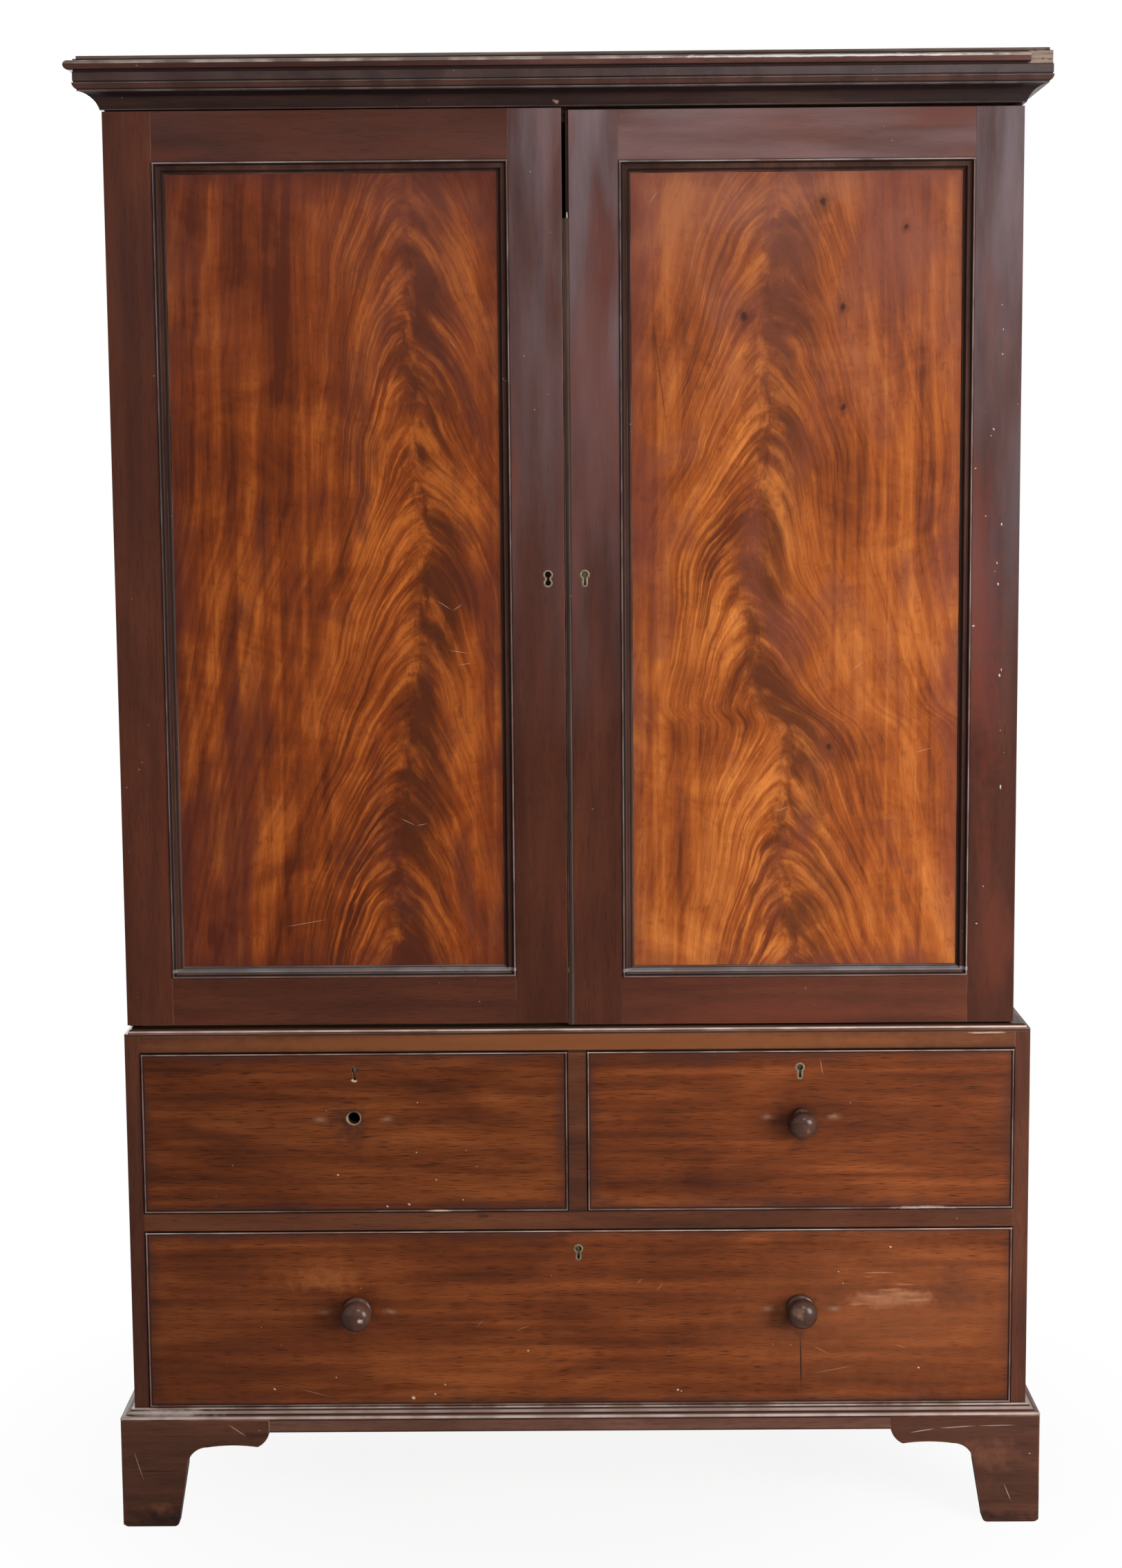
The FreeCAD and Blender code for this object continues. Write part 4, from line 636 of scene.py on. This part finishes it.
SPIGOT = ((0.0088, -0.02), (0.0088, -0.003))
BROAD_KNOB = SPIGOT + (
    (0.0200, -0.003), (0.0210, 0.0005), (0.0216, 0.0028), (0.0211, 0.0052), (0.0192, 0.0068),
    (0.0150, 0.0074), (0.0130, 0.0090), (0.0126, 0.0116), (0.0142, 0.0142), (0.0180, 0.0172),
    (0.0209, 0.0212), (0.0224, 0.0258), (0.0227, 0.0292), (0.0220, 0.0332), (0.0200, 0.0373),
    (0.0165, 0.0407), (0.0118, 0.0432), (0.0062, 0.0446), (0.0, 0.0450),
)
NARROW_KNOB = SPIGOT + (
    (0.0112, -0.003), (0.0122, 0.0010), (0.0126, 0.0030), (0.0122, 0.0052), (0.0104, 0.0068),
    (0.0086, 0.0084), (0.0080, 0.0106), (0.0092, 0.0132), (0.0130, 0.0156), (0.0178, 0.0192),
    (0.0208, 0.0238), (0.0218, 0.0284), (0.0212, 0.0332), (0.0190, 0.0375), (0.0152, 0.0408),
    (0.0102, 0.0431), (0.0052, 0.0442), (0.0, 0.0445),
)
right_knob = turned("right_short_knob", RIGHT_KNOB, 0.6192, NARROW_KNOB, droop=-math.radians(18))
left_long_knob = turned("left_long_knob", LEFT_KNOB, LONG_KNOB_HEIGHT, BROAD_KNOB)
right_long_knob = turned("right_long_knob", RIGHT_KNOB, LONG_KNOB_HEIGHT, BROAD_KNOB)
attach(right_knob, "short_drawer_right")
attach(left_long_knob, "long_drawer")
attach(right_long_knob, "long_drawer")
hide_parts("short_drawer_right_knob")
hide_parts("long_drawer_knobs")
# A painted highlight on the left long knob, and two worn reddish patches on the right knobs.
for centre, size, colour in (
    ((-0.311, -0.294, 0.322), (0.0045, 0.01, 0.0045), (0.62, 0.54, 0.45)),
    ((0.333, -0.295, 0.331), (0.011, 0.01, 0.012), (0.20, 0.11, 0.075)),
    ((0.345, -0.288, 0.606), (0.009, 0.01, 0.005), (0.24, 0.085, 0.028)),
):
    mark(knob_wood, colour, centre, size, strength=0.7, fray=0.9, soft=0.8)


# Chest top: a mahogany board with a moulded edge on three sides, mitred at the corners. Its
# arris is worn pale with a painted highlight, and the hollow above it and the edge below carry
# painted shade.
waist_finish = polish("waist_mahogany", "Lxx", (0.060, 0.024, 0.015), (0.105, 0.040, 0.023),
                      (0.170, 0.070, 0.042), start=15.0, worn=(0.50, 0.36, 0.28), wear=0.9)
# Painted shade above the arris, the worn arris with a painted highlight, and painted shade below
# it.
lined(waist_finish, 2, 0.7489, 0.7600, (0.030, 0.015, 0.012), 0.8, 0.3)
lined(waist_finish, 2, 0.7460, 0.7484, (0.62, 0.48, 0.40), 0.85, 0.45)
lined(waist_finish, 2, 0.7405, 0.7440, (0.026, 0.011, 0.008), 0.85, 0.2)
dress(waist_finish, "chest_top")


# Cupboard case: mahogany sides, pine top, bottom and upright back boards, with oak trays on
# pine bearers.
dress(polish("case_side_mahogany", "xxL", (0.034, 0.012, 0.008), (0.062, 0.020, 0.011),
             (0.095, 0.030, 0.015), start=16.0), "case_side_left", "case_side_right")
dress(level_pine, "case_top", "case_bottom")
dress(bare("case_back_pine", "xxL", PINE_DARK, PINE_LIGHT, start=17.0,
           boards=(-0.6312, 0.2525, (0.780, 1.42, 2.04))), "case_back")
dress(runner_pine, "tray_bearers")
tray_oak = bare("tray_oak_boards", "Lxx", OAK_DARK, OAK_LIGHT, start=18.0, ray=0.5)
dress(tray_oak, "linen_tray_1", "linen_tray_2", "linen_tray_3", "linen_tray_4")


# Cornice: mitred mahogany moulding glued to a pale pine frame, with painted shade in its hollow
# and quirks and painted highlights on its rounds. Its rounded top moulding is worn, has a painted
# highlight along its front and has lost its right corner.
cornice_colours = ((0.009, 0.0042, 0.0036), (0.019, 0.0080, 0.0062), (0.042, 0.0185, 0.0135))
front_cornice, side_cornice = (
    polish(name, run, *cornice_colours, start=start, shine=0.14, gloss=0.30,
           worn=(0.22, 0.14, 0.13), top_dust_and_light=0.2)
    for name, run, start in (("cornice_mahogany", "Lxx", 20.0),
                             ("side_cornice_mahogany", "xLx", 22.0)))
for finish in (front_cornice, side_cornice):
    # Lines along the profile: painted shade in the hollow and the quirks, painted highlights on the
    # arrises, and painted light on the ovolo and the fascia.
    for low, high, colour, strength, broken in (
        (2.0700, 2.0722, (0.075, 0.050, 0.048), 0.6, 0.4),
        (2.0875, 2.0932, (0.006, 0.004, 0.004), 0.85, 0.1),
        (2.0934, 2.0956, (0.170, 0.130, 0.122), 0.60, 0.60),
        (2.0957, 2.0968, (0.008, 0.005, 0.005), 0.8, 0.1),
        (2.0972, 2.1030, (0.085, 0.036, 0.024), 0.65, 0.5),
        (2.1034, 2.1054, (0.200, 0.130, 0.110), 0.6, 0.6),
        (2.1055, 2.1072, (0.010, 0.006, 0.006), 0.8, 0.1),
        (2.1074, 2.1182, (0.090, 0.052, 0.048), 0.55, 0.5),
        (2.1184, 2.1250, (0.010, 0.006, 0.006), 0.85, 0.1),
    ):
        lined(finish, 2, low, high, colour, strength, broken)
mark(front_cornice, (0.40, 0.24, 0.16), (-0.010, -0.244, 2.0762), (0.006, 0.02, 0.0028), 0.3, 0.8,
     0.9, 0.7)
dress(front_cornice, "cornice_front")
dress(side_cornice, "cornice_left", "cornice_right")
nosing_finish = polish("top_moulding_mahogany", "Lxx", (0.028, 0.011, 0.009), (0.060, 0.023, 0.018),
                       (0.110, 0.048, 0.038), start=24.0, worn=(0.50, 0.38, 0.34), wear=0.95,
                       round_edge=0.0025, top_dust_and_light=0.3)
lined(nosing_finish, 2, 2.1292, 2.1350, (0.52, 0.42, 0.36), 0.85, 0.75)
# Painted shade under the nosing.
lined(nosing_finish, 2, 2.1200, 2.1226, (0.012, 0.007, 0.006), 0.9)
for x, z in ((-0.663, 2.134), (0.1785, 2.133), (-0.34, 2.134), (0.47, 2.1335)):
    mark(nosing_finish, (0.60, 0.47, 0.38), (x, -0.286, z), (0.008, 0.012, 0.0024), strength=0.9,
         fray=0.9)
# Painted highlight along the front of the nosing, towards the right.
mark(nosing_finish, (0.80, 0.76, 0.74), (0.36, -0.284, 2.1308), (0.30, 0.02, 0.0020), strength=0.9,
     fray=0.3, soft=0.5)
dress(nosing_finish, "cornice_nosing")
core_finish = bare("cornice_pine", "Lxx", (0.10, 0.066, 0.052), (0.27, 0.190, 0.152), start=25.0)
for x, z, size in ((0.658, 2.137, 0.005), (0.668, 2.126, 0.004), (0.677, 2.138, 0.006),
                   (0.680, 2.124, 0.0035)):
    mark(core_finish, (0.045, 0.030, 0.026), (x, -0.28, z), (size, 0.02, size * 0.6),
         strength=0.7, fray=1.2)
tree = core_finish.node_tree
apart = axes(tree)
stained = times(between(apart[2], 2.1375, 2.1365), between(apart[0], 0.652, 0.647))
painted(core_finish, stained, (0.030, 0.013, 0.011))
dress(core_finish, "cornice_core")


# Door frames: mahogany stiles and rails, mortised together and grooved for the panels. A greyish
# sheen is painted on their upper halves, most on the right, for the reflection of the bright room.
DOOR_FACE = -0.2435


def painted_sheen(finish, strength, drawn):
    """A painted greyish sheen on the outer face, for the reflection of the bright room, stronger
    towards the top of the doors. drawn gives its changes to the metre along x, y and z."""
    tree = finish.node_tree
    point = put(tree, "TexCoord").outputs["Object"]
    apart = axes(tree)
    streaked = put(tree, "Mapping", {0: point, 3: drawn}).outputs[0]
    cloud = cloudy(streaked, 1.0, 7.0)
    outer = between(apart[1], -0.2390, -0.2425)
    share = times(between(apart[2], 1.15, 2.0, 0, strength), between(cloud, 0.36, 0.66, 0.30, 1.25))
    # The painted sheen, added to the colour of the outer face.
    painted(finish, times(share, outer), (0.104, 0.090, 0.101), "ADD")
    red = between(cloudy(streaked, 0.6, 5.0, 0.6), 0.54, 0.66, 0, 0.35)
    painted(finish, times(red, outer), (0.135, 0.030, 0.016))


stile_colours = ((0.046, 0.0135, 0.0080), (0.074, 0.0215, 0.0115), (0.110, 0.0310, 0.0150))
for name, depth, sheen_strength, start in (
    ("door_left_hinge_stile", 0.93, 0.04, 30.0), ("door_left_meeting_stile", 0.66, 0.70, 32.0),
    ("door_right_meeting_stile", 0.74, 0.80, 34.0), ("door_right_hinge_stile", 0.56, 0.80, 36.0),
):
    stile = polish(name + "_mahogany", "xxL", *(toned(colour, depth) for colour in stile_colours),
                   start=start)
    painted_sheen(stile, sheen_strength, (22.0, 22.0, 3.2))
    if name == "door_right_hinge_stile":
        mark(stile, (0.135, 0.022, 0.012), (0.605, DOOR_FACE, 1.30), (0.030, 0.02, 0.28),
             strength=0.45, soft=0.95)
        for x, z, size in (
            (0.6215, 1.790, 0.0013), (0.6235, 1.756, 0.0012), (0.6225, 1.722, 0.0015),
            (0.6120, 1.615, 0.0017), (0.6080, 1.606, 0.0010), (0.5860, 1.560, 0.0013),
            (0.6010, 1.492, 0.0012), (0.6240, 1.480, 0.0018), (0.6180, 1.425, 0.0014),
            (0.6150, 1.413, 0.0012), (0.6200, 1.395, 0.0016), (0.6260, 1.270, 0.0016),
            (0.6240, 1.262, 0.0022), (0.5870, 1.335, 0.0024), (0.6270, 1.100, 0.0020),
            (0.6040, 0.955, 0.0011), (0.5950, 0.900, 0.0014),
        ):
            mark(stile, (0.60, 0.56, 0.52), (x, DOOR_FACE, z), (size * 0.7, 0.01, size * 1.4),
                 x * 40, 0.75, 0.8)
    dress(stile, name)
for name, depth, sheen_strength, start in (("door_left_rails", 0.84, 0.08, 40.0),
                                  ("door_right_rails", 1.0, 0.62, 42.0)):
    rails = polish(name + "_mahogany", "Lxx", *(toned(colour, depth) for colour in stile_colours),
                   start=start)
    painted_sheen(rails, sheen_strength, (3.2, 22.0, 22.0))
    dress(rails, name)


# Door mouldings: a cove and a round, run with a plane, mitred round each panel and glued. They
# have painted shade in the quirks, and wear, dust and painted highlights on the top and the foot.
for door, low, high in (("left", (-0.582, 0.826), (-0.078, 1.999)),
                        ("right", (0.078, 0.823), (0.582, 1.996))):
    moulding = polish(door + "_panel_moulding_mahogany", "xxL", (0.020, 0.009, 0.007),
                      (0.046, 0.019, 0.013), (0.080, 0.036, 0.024), start=45.0,
                      worn=(0.22, 0.14, 0.12), corner_shade=0.9, shine=0.05, gloss=0.42, round_edge=0.001,
                      top_dust_and_light=0.35)
    # Painted shade in the gap and the quirks; the pale lines on the round, the top and the foot are
    # painted highlights with wear, and the foot has a reddish line.
    lined(moulding, (low, high), -0.01, 0.0008, (0.008, 0.005, 0.005), 0.9)
    lined(moulding, (low, high), 0.0010, 0.0026, (0.260, 0.185, 0.165), 0.70, 0.65)
    lined(moulding, (low, high), 0.0034, 0.0056, (0.008, 0.005, 0.005), 0.85)
    lined(moulding, (low, high), 0.0118, 0.0145, (0.010, 0.006, 0.005), 0.75)
    top = (low[0] - 1, low[1] - 1), (high[0] + 1, high[1])
    lined(moulding, top, 0.0008, 0.0024, (0.42, 0.36, 0.35), 0.60, 0.7)
    foot = (low[0] - 1, low[1]), (high[0] + 1, high[1] + 1)
    lined(moulding, foot, 0.0085, 0.0135, (0.27, 0.24, 0.25), 0.65, 0.4)
    lined(moulding, foot, 0.0012, 0.0030, (0.150, 0.075, 0.060), 0.65, 0.4)
    dress(moulding, "door_" + door + "_bead")


# Meeting strip: a thin mahogany round glued to the right door's edge over the gap. It is broken
# off near its top, where a sliver of its wood still stands.
strip = polish("meeting_strip_mahogany", "xxL", (0.016, 0.009, 0.007), (0.038, 0.019, 0.013),
               (0.070, 0.038, 0.027), start=46.0, worn=(0.20, 0.13, 0.10))
# A painted highlight along its left edge.
lined(strip, 0, -0.0020, -0.0006, (0.22, 0.15, 0.11), 0.75, 0.6)
mark(strip, (0.45, 0.33, 0.25), (-0.0016, -0.243, 0.8355), (0.0014, 0.01, 0.005), strength=0.9)
dress(strip, "door_right_meeting_bead")
bpy.ops.object.select_all(action="DESELECT")
bpy.ops.mesh.primitive_cube_add(size=0.0026, location=(0.0046, -0.2422, 1.9173))
sliver = bpy.context.object
sliver.name = "meeting_strip_splinter"
bpy.ops.object.mode_set(mode="EDIT")
for pull, thin in (((0, 0, 0.006), (0.75, 0.7, 1)), ((0.0006, 0, 0.003), (0.5, 0.5, 1))):
    solid = bmesh.from_edit_mesh(sliver.data)
    for face in solid.faces:
        face.select_set(face.normal.z > 0.8 and face.calc_center_median().z > 0)
    bmesh.update_edit_mesh(sliver.data)
    bpy.ops.mesh.extrude_region_move(TRANSFORM_OT_translate={"value": pull})
    bpy.ops.transform.resize(value=thin)
bpy.ops.mesh.select_all(action="SELECT")
bpy.ops.mesh.bevel(offset=0.0003, segments=1)
bpy.ops.object.mode_set(mode="OBJECT")
bpy.ops.object.transform_apply(location=True, rotation=True, scale=True)
sliver.data.materials.append(
    bare("broken_strip", "xxL", (0.24, 0.17, 0.12), (0.46, 0.36, 0.28), start=48.0))
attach(sliver, "right_door")


# Door panels: plain mahogany boards held in the frames' grooves. Their fronts are veneered with
# flame figure from the crotch of the tree, with plumes that fall away from a dark feather.
VENEER = -0.2345


def flame(name, feather, dark, mid, bright, start, steep, edge, shade, smoky):
    """Flame veneer. feather gives the dark middle line as (height, place across) points, and
    steep how fast the plumes fall away on its left and on its right. shade is the smoky colour
    that gathers near the top and towards the edge, which runs from one x to another."""
    made, tree, shader, where = begun(name, "xxL")
    low, high = feather[0][0], feather[-1][0]
    left, right = -0.4, 0.4
    apart = put(tree, "SeparateXYZ", {0: where}).outputs
    line = put(tree, "FloatCurve", {1: between(apart[2], low, high)})
    curve = line.mapping.curves[0]
    places = [((z - low) / (high - low), (x - left) / (right - left)) for z, x in feather]
    curve.points[0].location, curve.points[-1].location = places[0], places[-1]
    for place in places[1:-1]:
        curve.points.new(*place)
    line.mapping.update()
    middle = added(line.outputs[0], right - left, left)

    def noise(vector, scale, detail, bend=0.0):
        """Rougher noise."""
        return cloudy(vector, scale, detail, bend, 0.6)

    slow, quick = (put(tree, "SeparateColor", {0: noise(where, *fineness).node.outputs[1]}).outputs
                   for fineness in ((3.0, 2.0), (13.0, 3.0)))
    aside = less(apart[0], middle)
    aside = added(less(slow[0], 0.5), 0.07, aside)
    aside = added(less(quick[0], 0.5), 0.010, aside)
    far = sums("ABSOLUTE", aside)
    side = between(aside, -0.012, 0.012)
    slope = between(side, 0, 1, *steep)
    height = added(sums("POWER", far, 1.75), slope, apart[2])
    height = added(slow[1], 0.14, height)
    height = added(quick[1], 0.014, height)
    depth = added(side, 0.9, start)

    def arms(up, out):
        """Places drawn out along the plumes."""
        return put(tree, "CombineXYZ", {0: times(height, up), 1: times(aside, out),
                                        2: depth}).outputs[0]

    bands = noise(arms(4.2, 2.5), 1.0, 3.0, 0.3)
    folds = noise(arms(10.0, 6.0), 1.0, 4.0, 0.3)
    plumes = noise(arms(24.0, 10.0), 1.0, 6.0, 0.3)
    wisps = noise(arms(66.0, 17.0), 1.0, 5.0, 0.3)
    hairs = noise(arms(230.0, 30.0), 1.0, 2.0)
    mottle = noise(where, 6.0, 7.0, 0.7)
    upright = grain(where, 1.8, 62.0, 7.0, 0.5, start)
    near = between(added(mottle, 0.10, far), 0.09, 0.19, 1, 0)
    feathered = added(plumes, 0.34, times(wisps, 0.30))
    streaked = added(plumes, 0.08, times(upright, 0.24))
    streaked = added(folds, 0.16, added(mottle, 0.16, streaked))
    tone = put(tree, "Mix", {0: near, 2: streaked, 3: feathered}).outputs[0]
    tone = added(mottle, 0.17, added(bands, 0.19, tone))
    colour = ramp(tone, (0.42, dark), (0.50, mid), (0.59, bright))
    left_of = between(aside, 0.012, -0.012, 0.25, 1)
    crest = times(between(wisps, 0.51, 0.60),
                  times(between(far, 0.004, 0.025), between(far, 0.15, 0.06)))
    crest = times(times(crest, left_of), between(mottle, 0.40, 0.58))
    colour = blended(times(crest, 0.75), colour, toned(bright, 1.2, 1.25, 1.2))
    broken = added(plumes, 0.55, times(mottle, 0.45))
    heart = times(between(aside, -0.028, 0.006), between(aside, 0.080, 0.036))
    heart = times(heart, between(broken, 0.585, 0.47, 0.20, 0.88))
    colour = blended(heart, colour, toned(dark, 0.80, 1.05, 1.3))
    smoke = grain(where, 3.2, 9.0, 6.0, 1.0, start + 5)
    upper = sums("MAXIMUM", less(apart[2], 1.45), 0.0)
    smoke = added(upper, 0.13, sums("ADD", smoke, between(apart[0], *edge, 0.0, 0.09)))
    fleck = noise(where, 75.0, 3.0)
    pore = grain(where, 45.0, 1100.0, 2.0, 0.0, start)
    # Painted sheen: a greyer, bluer tint towards the top of the panel.
    painted_top_sheen = times(between(apart[2], 1.62, 2.0), between(mottle, 0.38, 0.60, 0.15, 0.60))
    for share, over in (
        (between(smoke, 0.53, 0.66, 0, smoky), shade),
        (between(hairs, 0.56, 0.70, 0, 0.35), toned(dark, 0.7)),
        (between(fleck, 0.56, 0.70, 0, 0.30), toned(dark, 0.9)),
        (between(pore, 0.45, 0.30, 0, 0.35), toned(dark, 0.6, 0.5, 0.5)),
        (painted_top_sheen, toned(mid, 0.72, 1.15, 4.5)),
    ):
        colour = blended(share, colour, over)
    plain = ramp(upright, (0.35, (0.045, 0.016, 0.008)), (0.65, (0.130, 0.045, 0.018)))
    colour = blended(between(apart[1], VENEER + 0.0008, VENEER + 0.0014), colour, plain)
    rough = between(cloudy(where, 9.0, 6.0), 0.3, 0.7, 0.28, 0.40)
    finished(shader, colour, rough, pore, 0.25, 0.0005)
    shader.inputs["Specular IOR Level"].default_value = 0.08
    return made


left_feather = ((0.82, -0.256), (0.982, -0.249), (1.111, -0.237), (1.266, -0.221), (1.352, -0.213),
                (1.494, -0.200), (1.593, -0.209), (1.789, -0.213), (2.006, -0.215))
right_feather = ((0.816, 0.326), (1.030, 0.317), (1.185, 0.314), (1.226, 0.279), (1.339, 0.263),
                 (1.440, 0.253), (1.580, 0.282), (1.754, 0.288), (2.003, 0.323))
left_flame = flame("left_flame_veneer", left_feather, (0.074, 0.0140, 0.0042),
                   (0.190, 0.0380, 0.0070), (0.380, 0.0980, 0.0165), 50.0, (11.5, 9.0),
                   (-0.51, -0.575), (0.068, 0.0160, 0.0115), 0.62)
right_flame = flame("right_flame_veneer", right_feather, (0.100, 0.0210, 0.0065),
                    (0.262, 0.0620, 0.0115), (0.435, 0.1330, 0.0280), 60.0, (12.0, 9.5),
                    (0.49, 0.57), (0.155, 0.0400, 0.0230), 0.62)
darker_edges(left_flame, (-0.575, 0.832), (-0.086, 1.990), 0.045, (0.062, 0.014, 0.010), 0.6)
darker_edges(right_flame, (0.084, 0.830), (0.576, 1.988), 0.040, (0.105, 0.025, 0.018), 0.6)
for x, z, size in ((0.368, 1.936, 0.009), (0.256, 1.779, 0.009), (0.398, 1.789, 0.008),
                   (0.486, 1.902, 0.006), (0.397, 1.648, 0.006), (0.379, 1.161, 0.007)):
    mark(right_flame, (0.085, 0.022, 0.010), (x, VENEER, z), (size * 1.8, 0.01, size * 2.6),
         strength=0.5)
    mark(right_flame, (0.030, 0.012, 0.008), (x, VENEER, z), (size * 0.7, 0.01, size), 0.3, 0.9)
scratch(right_flame, (0.122, 1.80), (0.148, 1.60), 0.0011, (0.060, 0.018, 0.008), 0.7, VENEER)
for finish, strength, lines in (
    (left_flame, 0.5, (((-0.189, 1.378), (-0.165, 1.362)), ((-0.165, 1.362), (-0.150, 1.371)),
                       ((-0.172, 1.305), (-0.142, 1.300)), ((-0.158, 1.283), (-0.138, 1.286)),
                       ((-0.245, 1.060), (-0.222, 1.049)), ((-0.222, 1.049), (-0.205, 1.052)),
                       ((-0.42, 0.90), (-0.35, 0.912)), ((-0.165, 1.75), (-0.155, 1.735)))),
    (right_flame, 0.4, (((0.12, 1.935), (0.135, 1.955)), ((0.30, 1.065), (0.325, 1.075)),
                        ((0.325, 1.075), (0.34, 1.06)), ((0.50, 1.15), (0.53, 1.158)),
                        ((0.41, 1.27), (0.43, 1.285)))),
):
    for first, last in lines:
        scratch(finish, first, last, 0.0005, (0.50, 0.36, 0.25), strength, VENEER)
dress(left_flame, "door_left_panel")
dress(right_flame, "door_right_panel")


# Door brasses: butt hinges let into case and door, the right door's lock, the left door's
# keyhole rim and its two barrel bolts.
dress(old_brass, "case_hinge_leaves", "door_left_hinge_leaves", "door_right_hinge_leaves",
      "door_left_brasses", "door_left_top_bolt", "door_left_bottom_bolt", "door_right_lock",
      "door_right_lock_bolt")
CASE_LEAF, DOOR_LEAF, BOLT_PLATE, DOOR_LOCK_BACK = -0.2208, -0.2212, -0.2195, -0.2215
CASE_SCREWS, DOOR_SCREWS = 0.6408, 0.6350
for side, sign, feet in (("left", -1, (0.895, 1.381, 1.867)),
                         ("right", 1, (0.892, 1.378, 1.864))):
    heights = [foot + step for foot in feet for step in (0.010, 0.032, 0.054)]
    screws(side + "_case_hinge_screws", "cabinet", [(sign * CASE_SCREWS, z) for z in heights],
           CASE_LEAF, -1, 0.0027)
    screws(side + "_door_hinge_screws", side + "_door", [(sign * DOOR_SCREWS, z) for z in heights],
           DOOR_LEAF, 1, 0.0027)
screws("left_door_bolt_screws", "left_door",
       [(x, z + step) for z in (0.7853, 1.9567) for x in (-0.0503, -0.0302)
        for step in (0.020, 0.060)],
       BOLT_PLATE, 1, 0.0015)
screws("right_door_lock_screws", "right_door",
       ((0.010, 1.3870), (0.040, 1.3870), (0.040, 1.4390), (0.010, 1.4390)),
       DOOR_LOCK_BACK, 1, 0.0024)


# The floor, the lamps and the camera: a plain pale room with a large soft lamp to the front
# right, a weaker one to the left, and light from all round.
bpy.ops.object.select_all(action="DESELECT")
bpy.ops.mesh.primitive_plane_add(size=30, location=(0, 0, 0))
floor = bpy.context.object
floor.name = "floor"
floor_finish, tree, matt, spot = begun("pale_floor")
matt.inputs["Base Color"].default_value = (0.82, 0.82, 0.82, 1)
matt.inputs["Roughness"].default_value = 0.9
matt.inputs["Specular IOR Level"].default_value = 0.0
reach = put(tree, "VectorMath", {0: spot}, operation="LENGTH").outputs["Value"]
seen = put(tree, "LightPath").outputs["Is Camera Ray"]
white = put(tree, "Emission", {0: (1, 1, 1, 1), 1: 1.0}).outputs[0]
share = times(between(reach, 0.35, 1.1, 0.88, 1.0), seen)
cover = put(tree, "MixShader", {0: share, 1: matt.outputs[0], 2: white}).outputs[0]
tree.links.new(cover, tree.nodes["Material Output"].inputs[0])
floor.data.materials.append(floor_finish)
floor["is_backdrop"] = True

world = bpy.data.worlds.new("pale_room")
bpy.context.scene.world = world
world.use_nodes = True
tree = world.node_tree
path = put(tree, "LightPath").outputs
mirrored = sums("MAXIMUM", path["Is Camera Ray"],
                sums("MAXIMUM", path["Is Glossy Ray"], path["Is Transmission Ray"]))
tree.links.new(between(mirrored, 0, 1, 0.26, 1.0), tree.nodes["Background"].inputs[1])
tree.nodes["Background"].inputs[0].default_value = (1, 1, 1, 1)


def lamp(name, place, aim, width, power):
    """A square soft lamp that faces a point."""
    data = bpy.data.lights.new(name, "AREA")
    data.shape = "SQUARE"
    data.size = width
    data.energy = power
    made = bpy.data.objects.new(name, data)
    bpy.context.scene.collection.objects.link(made)
    made.location = place
    made.rotation_euler = (Vector(aim) - Vector(place)).to_track_quat("-Z", "Y").to_euler()


lamp("right_front_lamp", (2.15, -2.1, 1.0), (0.25, -0.2, 0.75), 1.3, 88)
lamp("high_lamp", (1.0, -3.3, 2.9), (0.4, -0.2, 1.6), 1.3, 34)
lamp("left_fill_lamp", (-2.6, -3.0, 2.0), (0.0, -0.2, 1.0), 2.0, 9)
lamp("back_lamp", (-1.6, 3.4, 2.2), (0.0, 0.2, 1.0), 1.8, 60)

camera = bpy.data.cameras.new("front_camera")
camera.sensor_fit = "VERTICAL"
camera.sensor_height = 36
camera.lens = 60.58
stand = bpy.data.objects.new("front_camera", camera)
bpy.context.scene.collection.objects.link(stand)
facing = (Matrix.Rotation(0.0064, 4, "Z") @ Matrix.Rotation(math.pi / 2 - 0.1212, 4, "X")
          @ Matrix.Rotation(-0.0082, 4, "Z"))
stand.matrix_world = Matrix.Translation((0.0141, -4.0462, 1.5729)) @ facing
bpy.context.scene.camera = stand
bpy.context.scene.view_settings.view_transform = "Standard"

low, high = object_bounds()
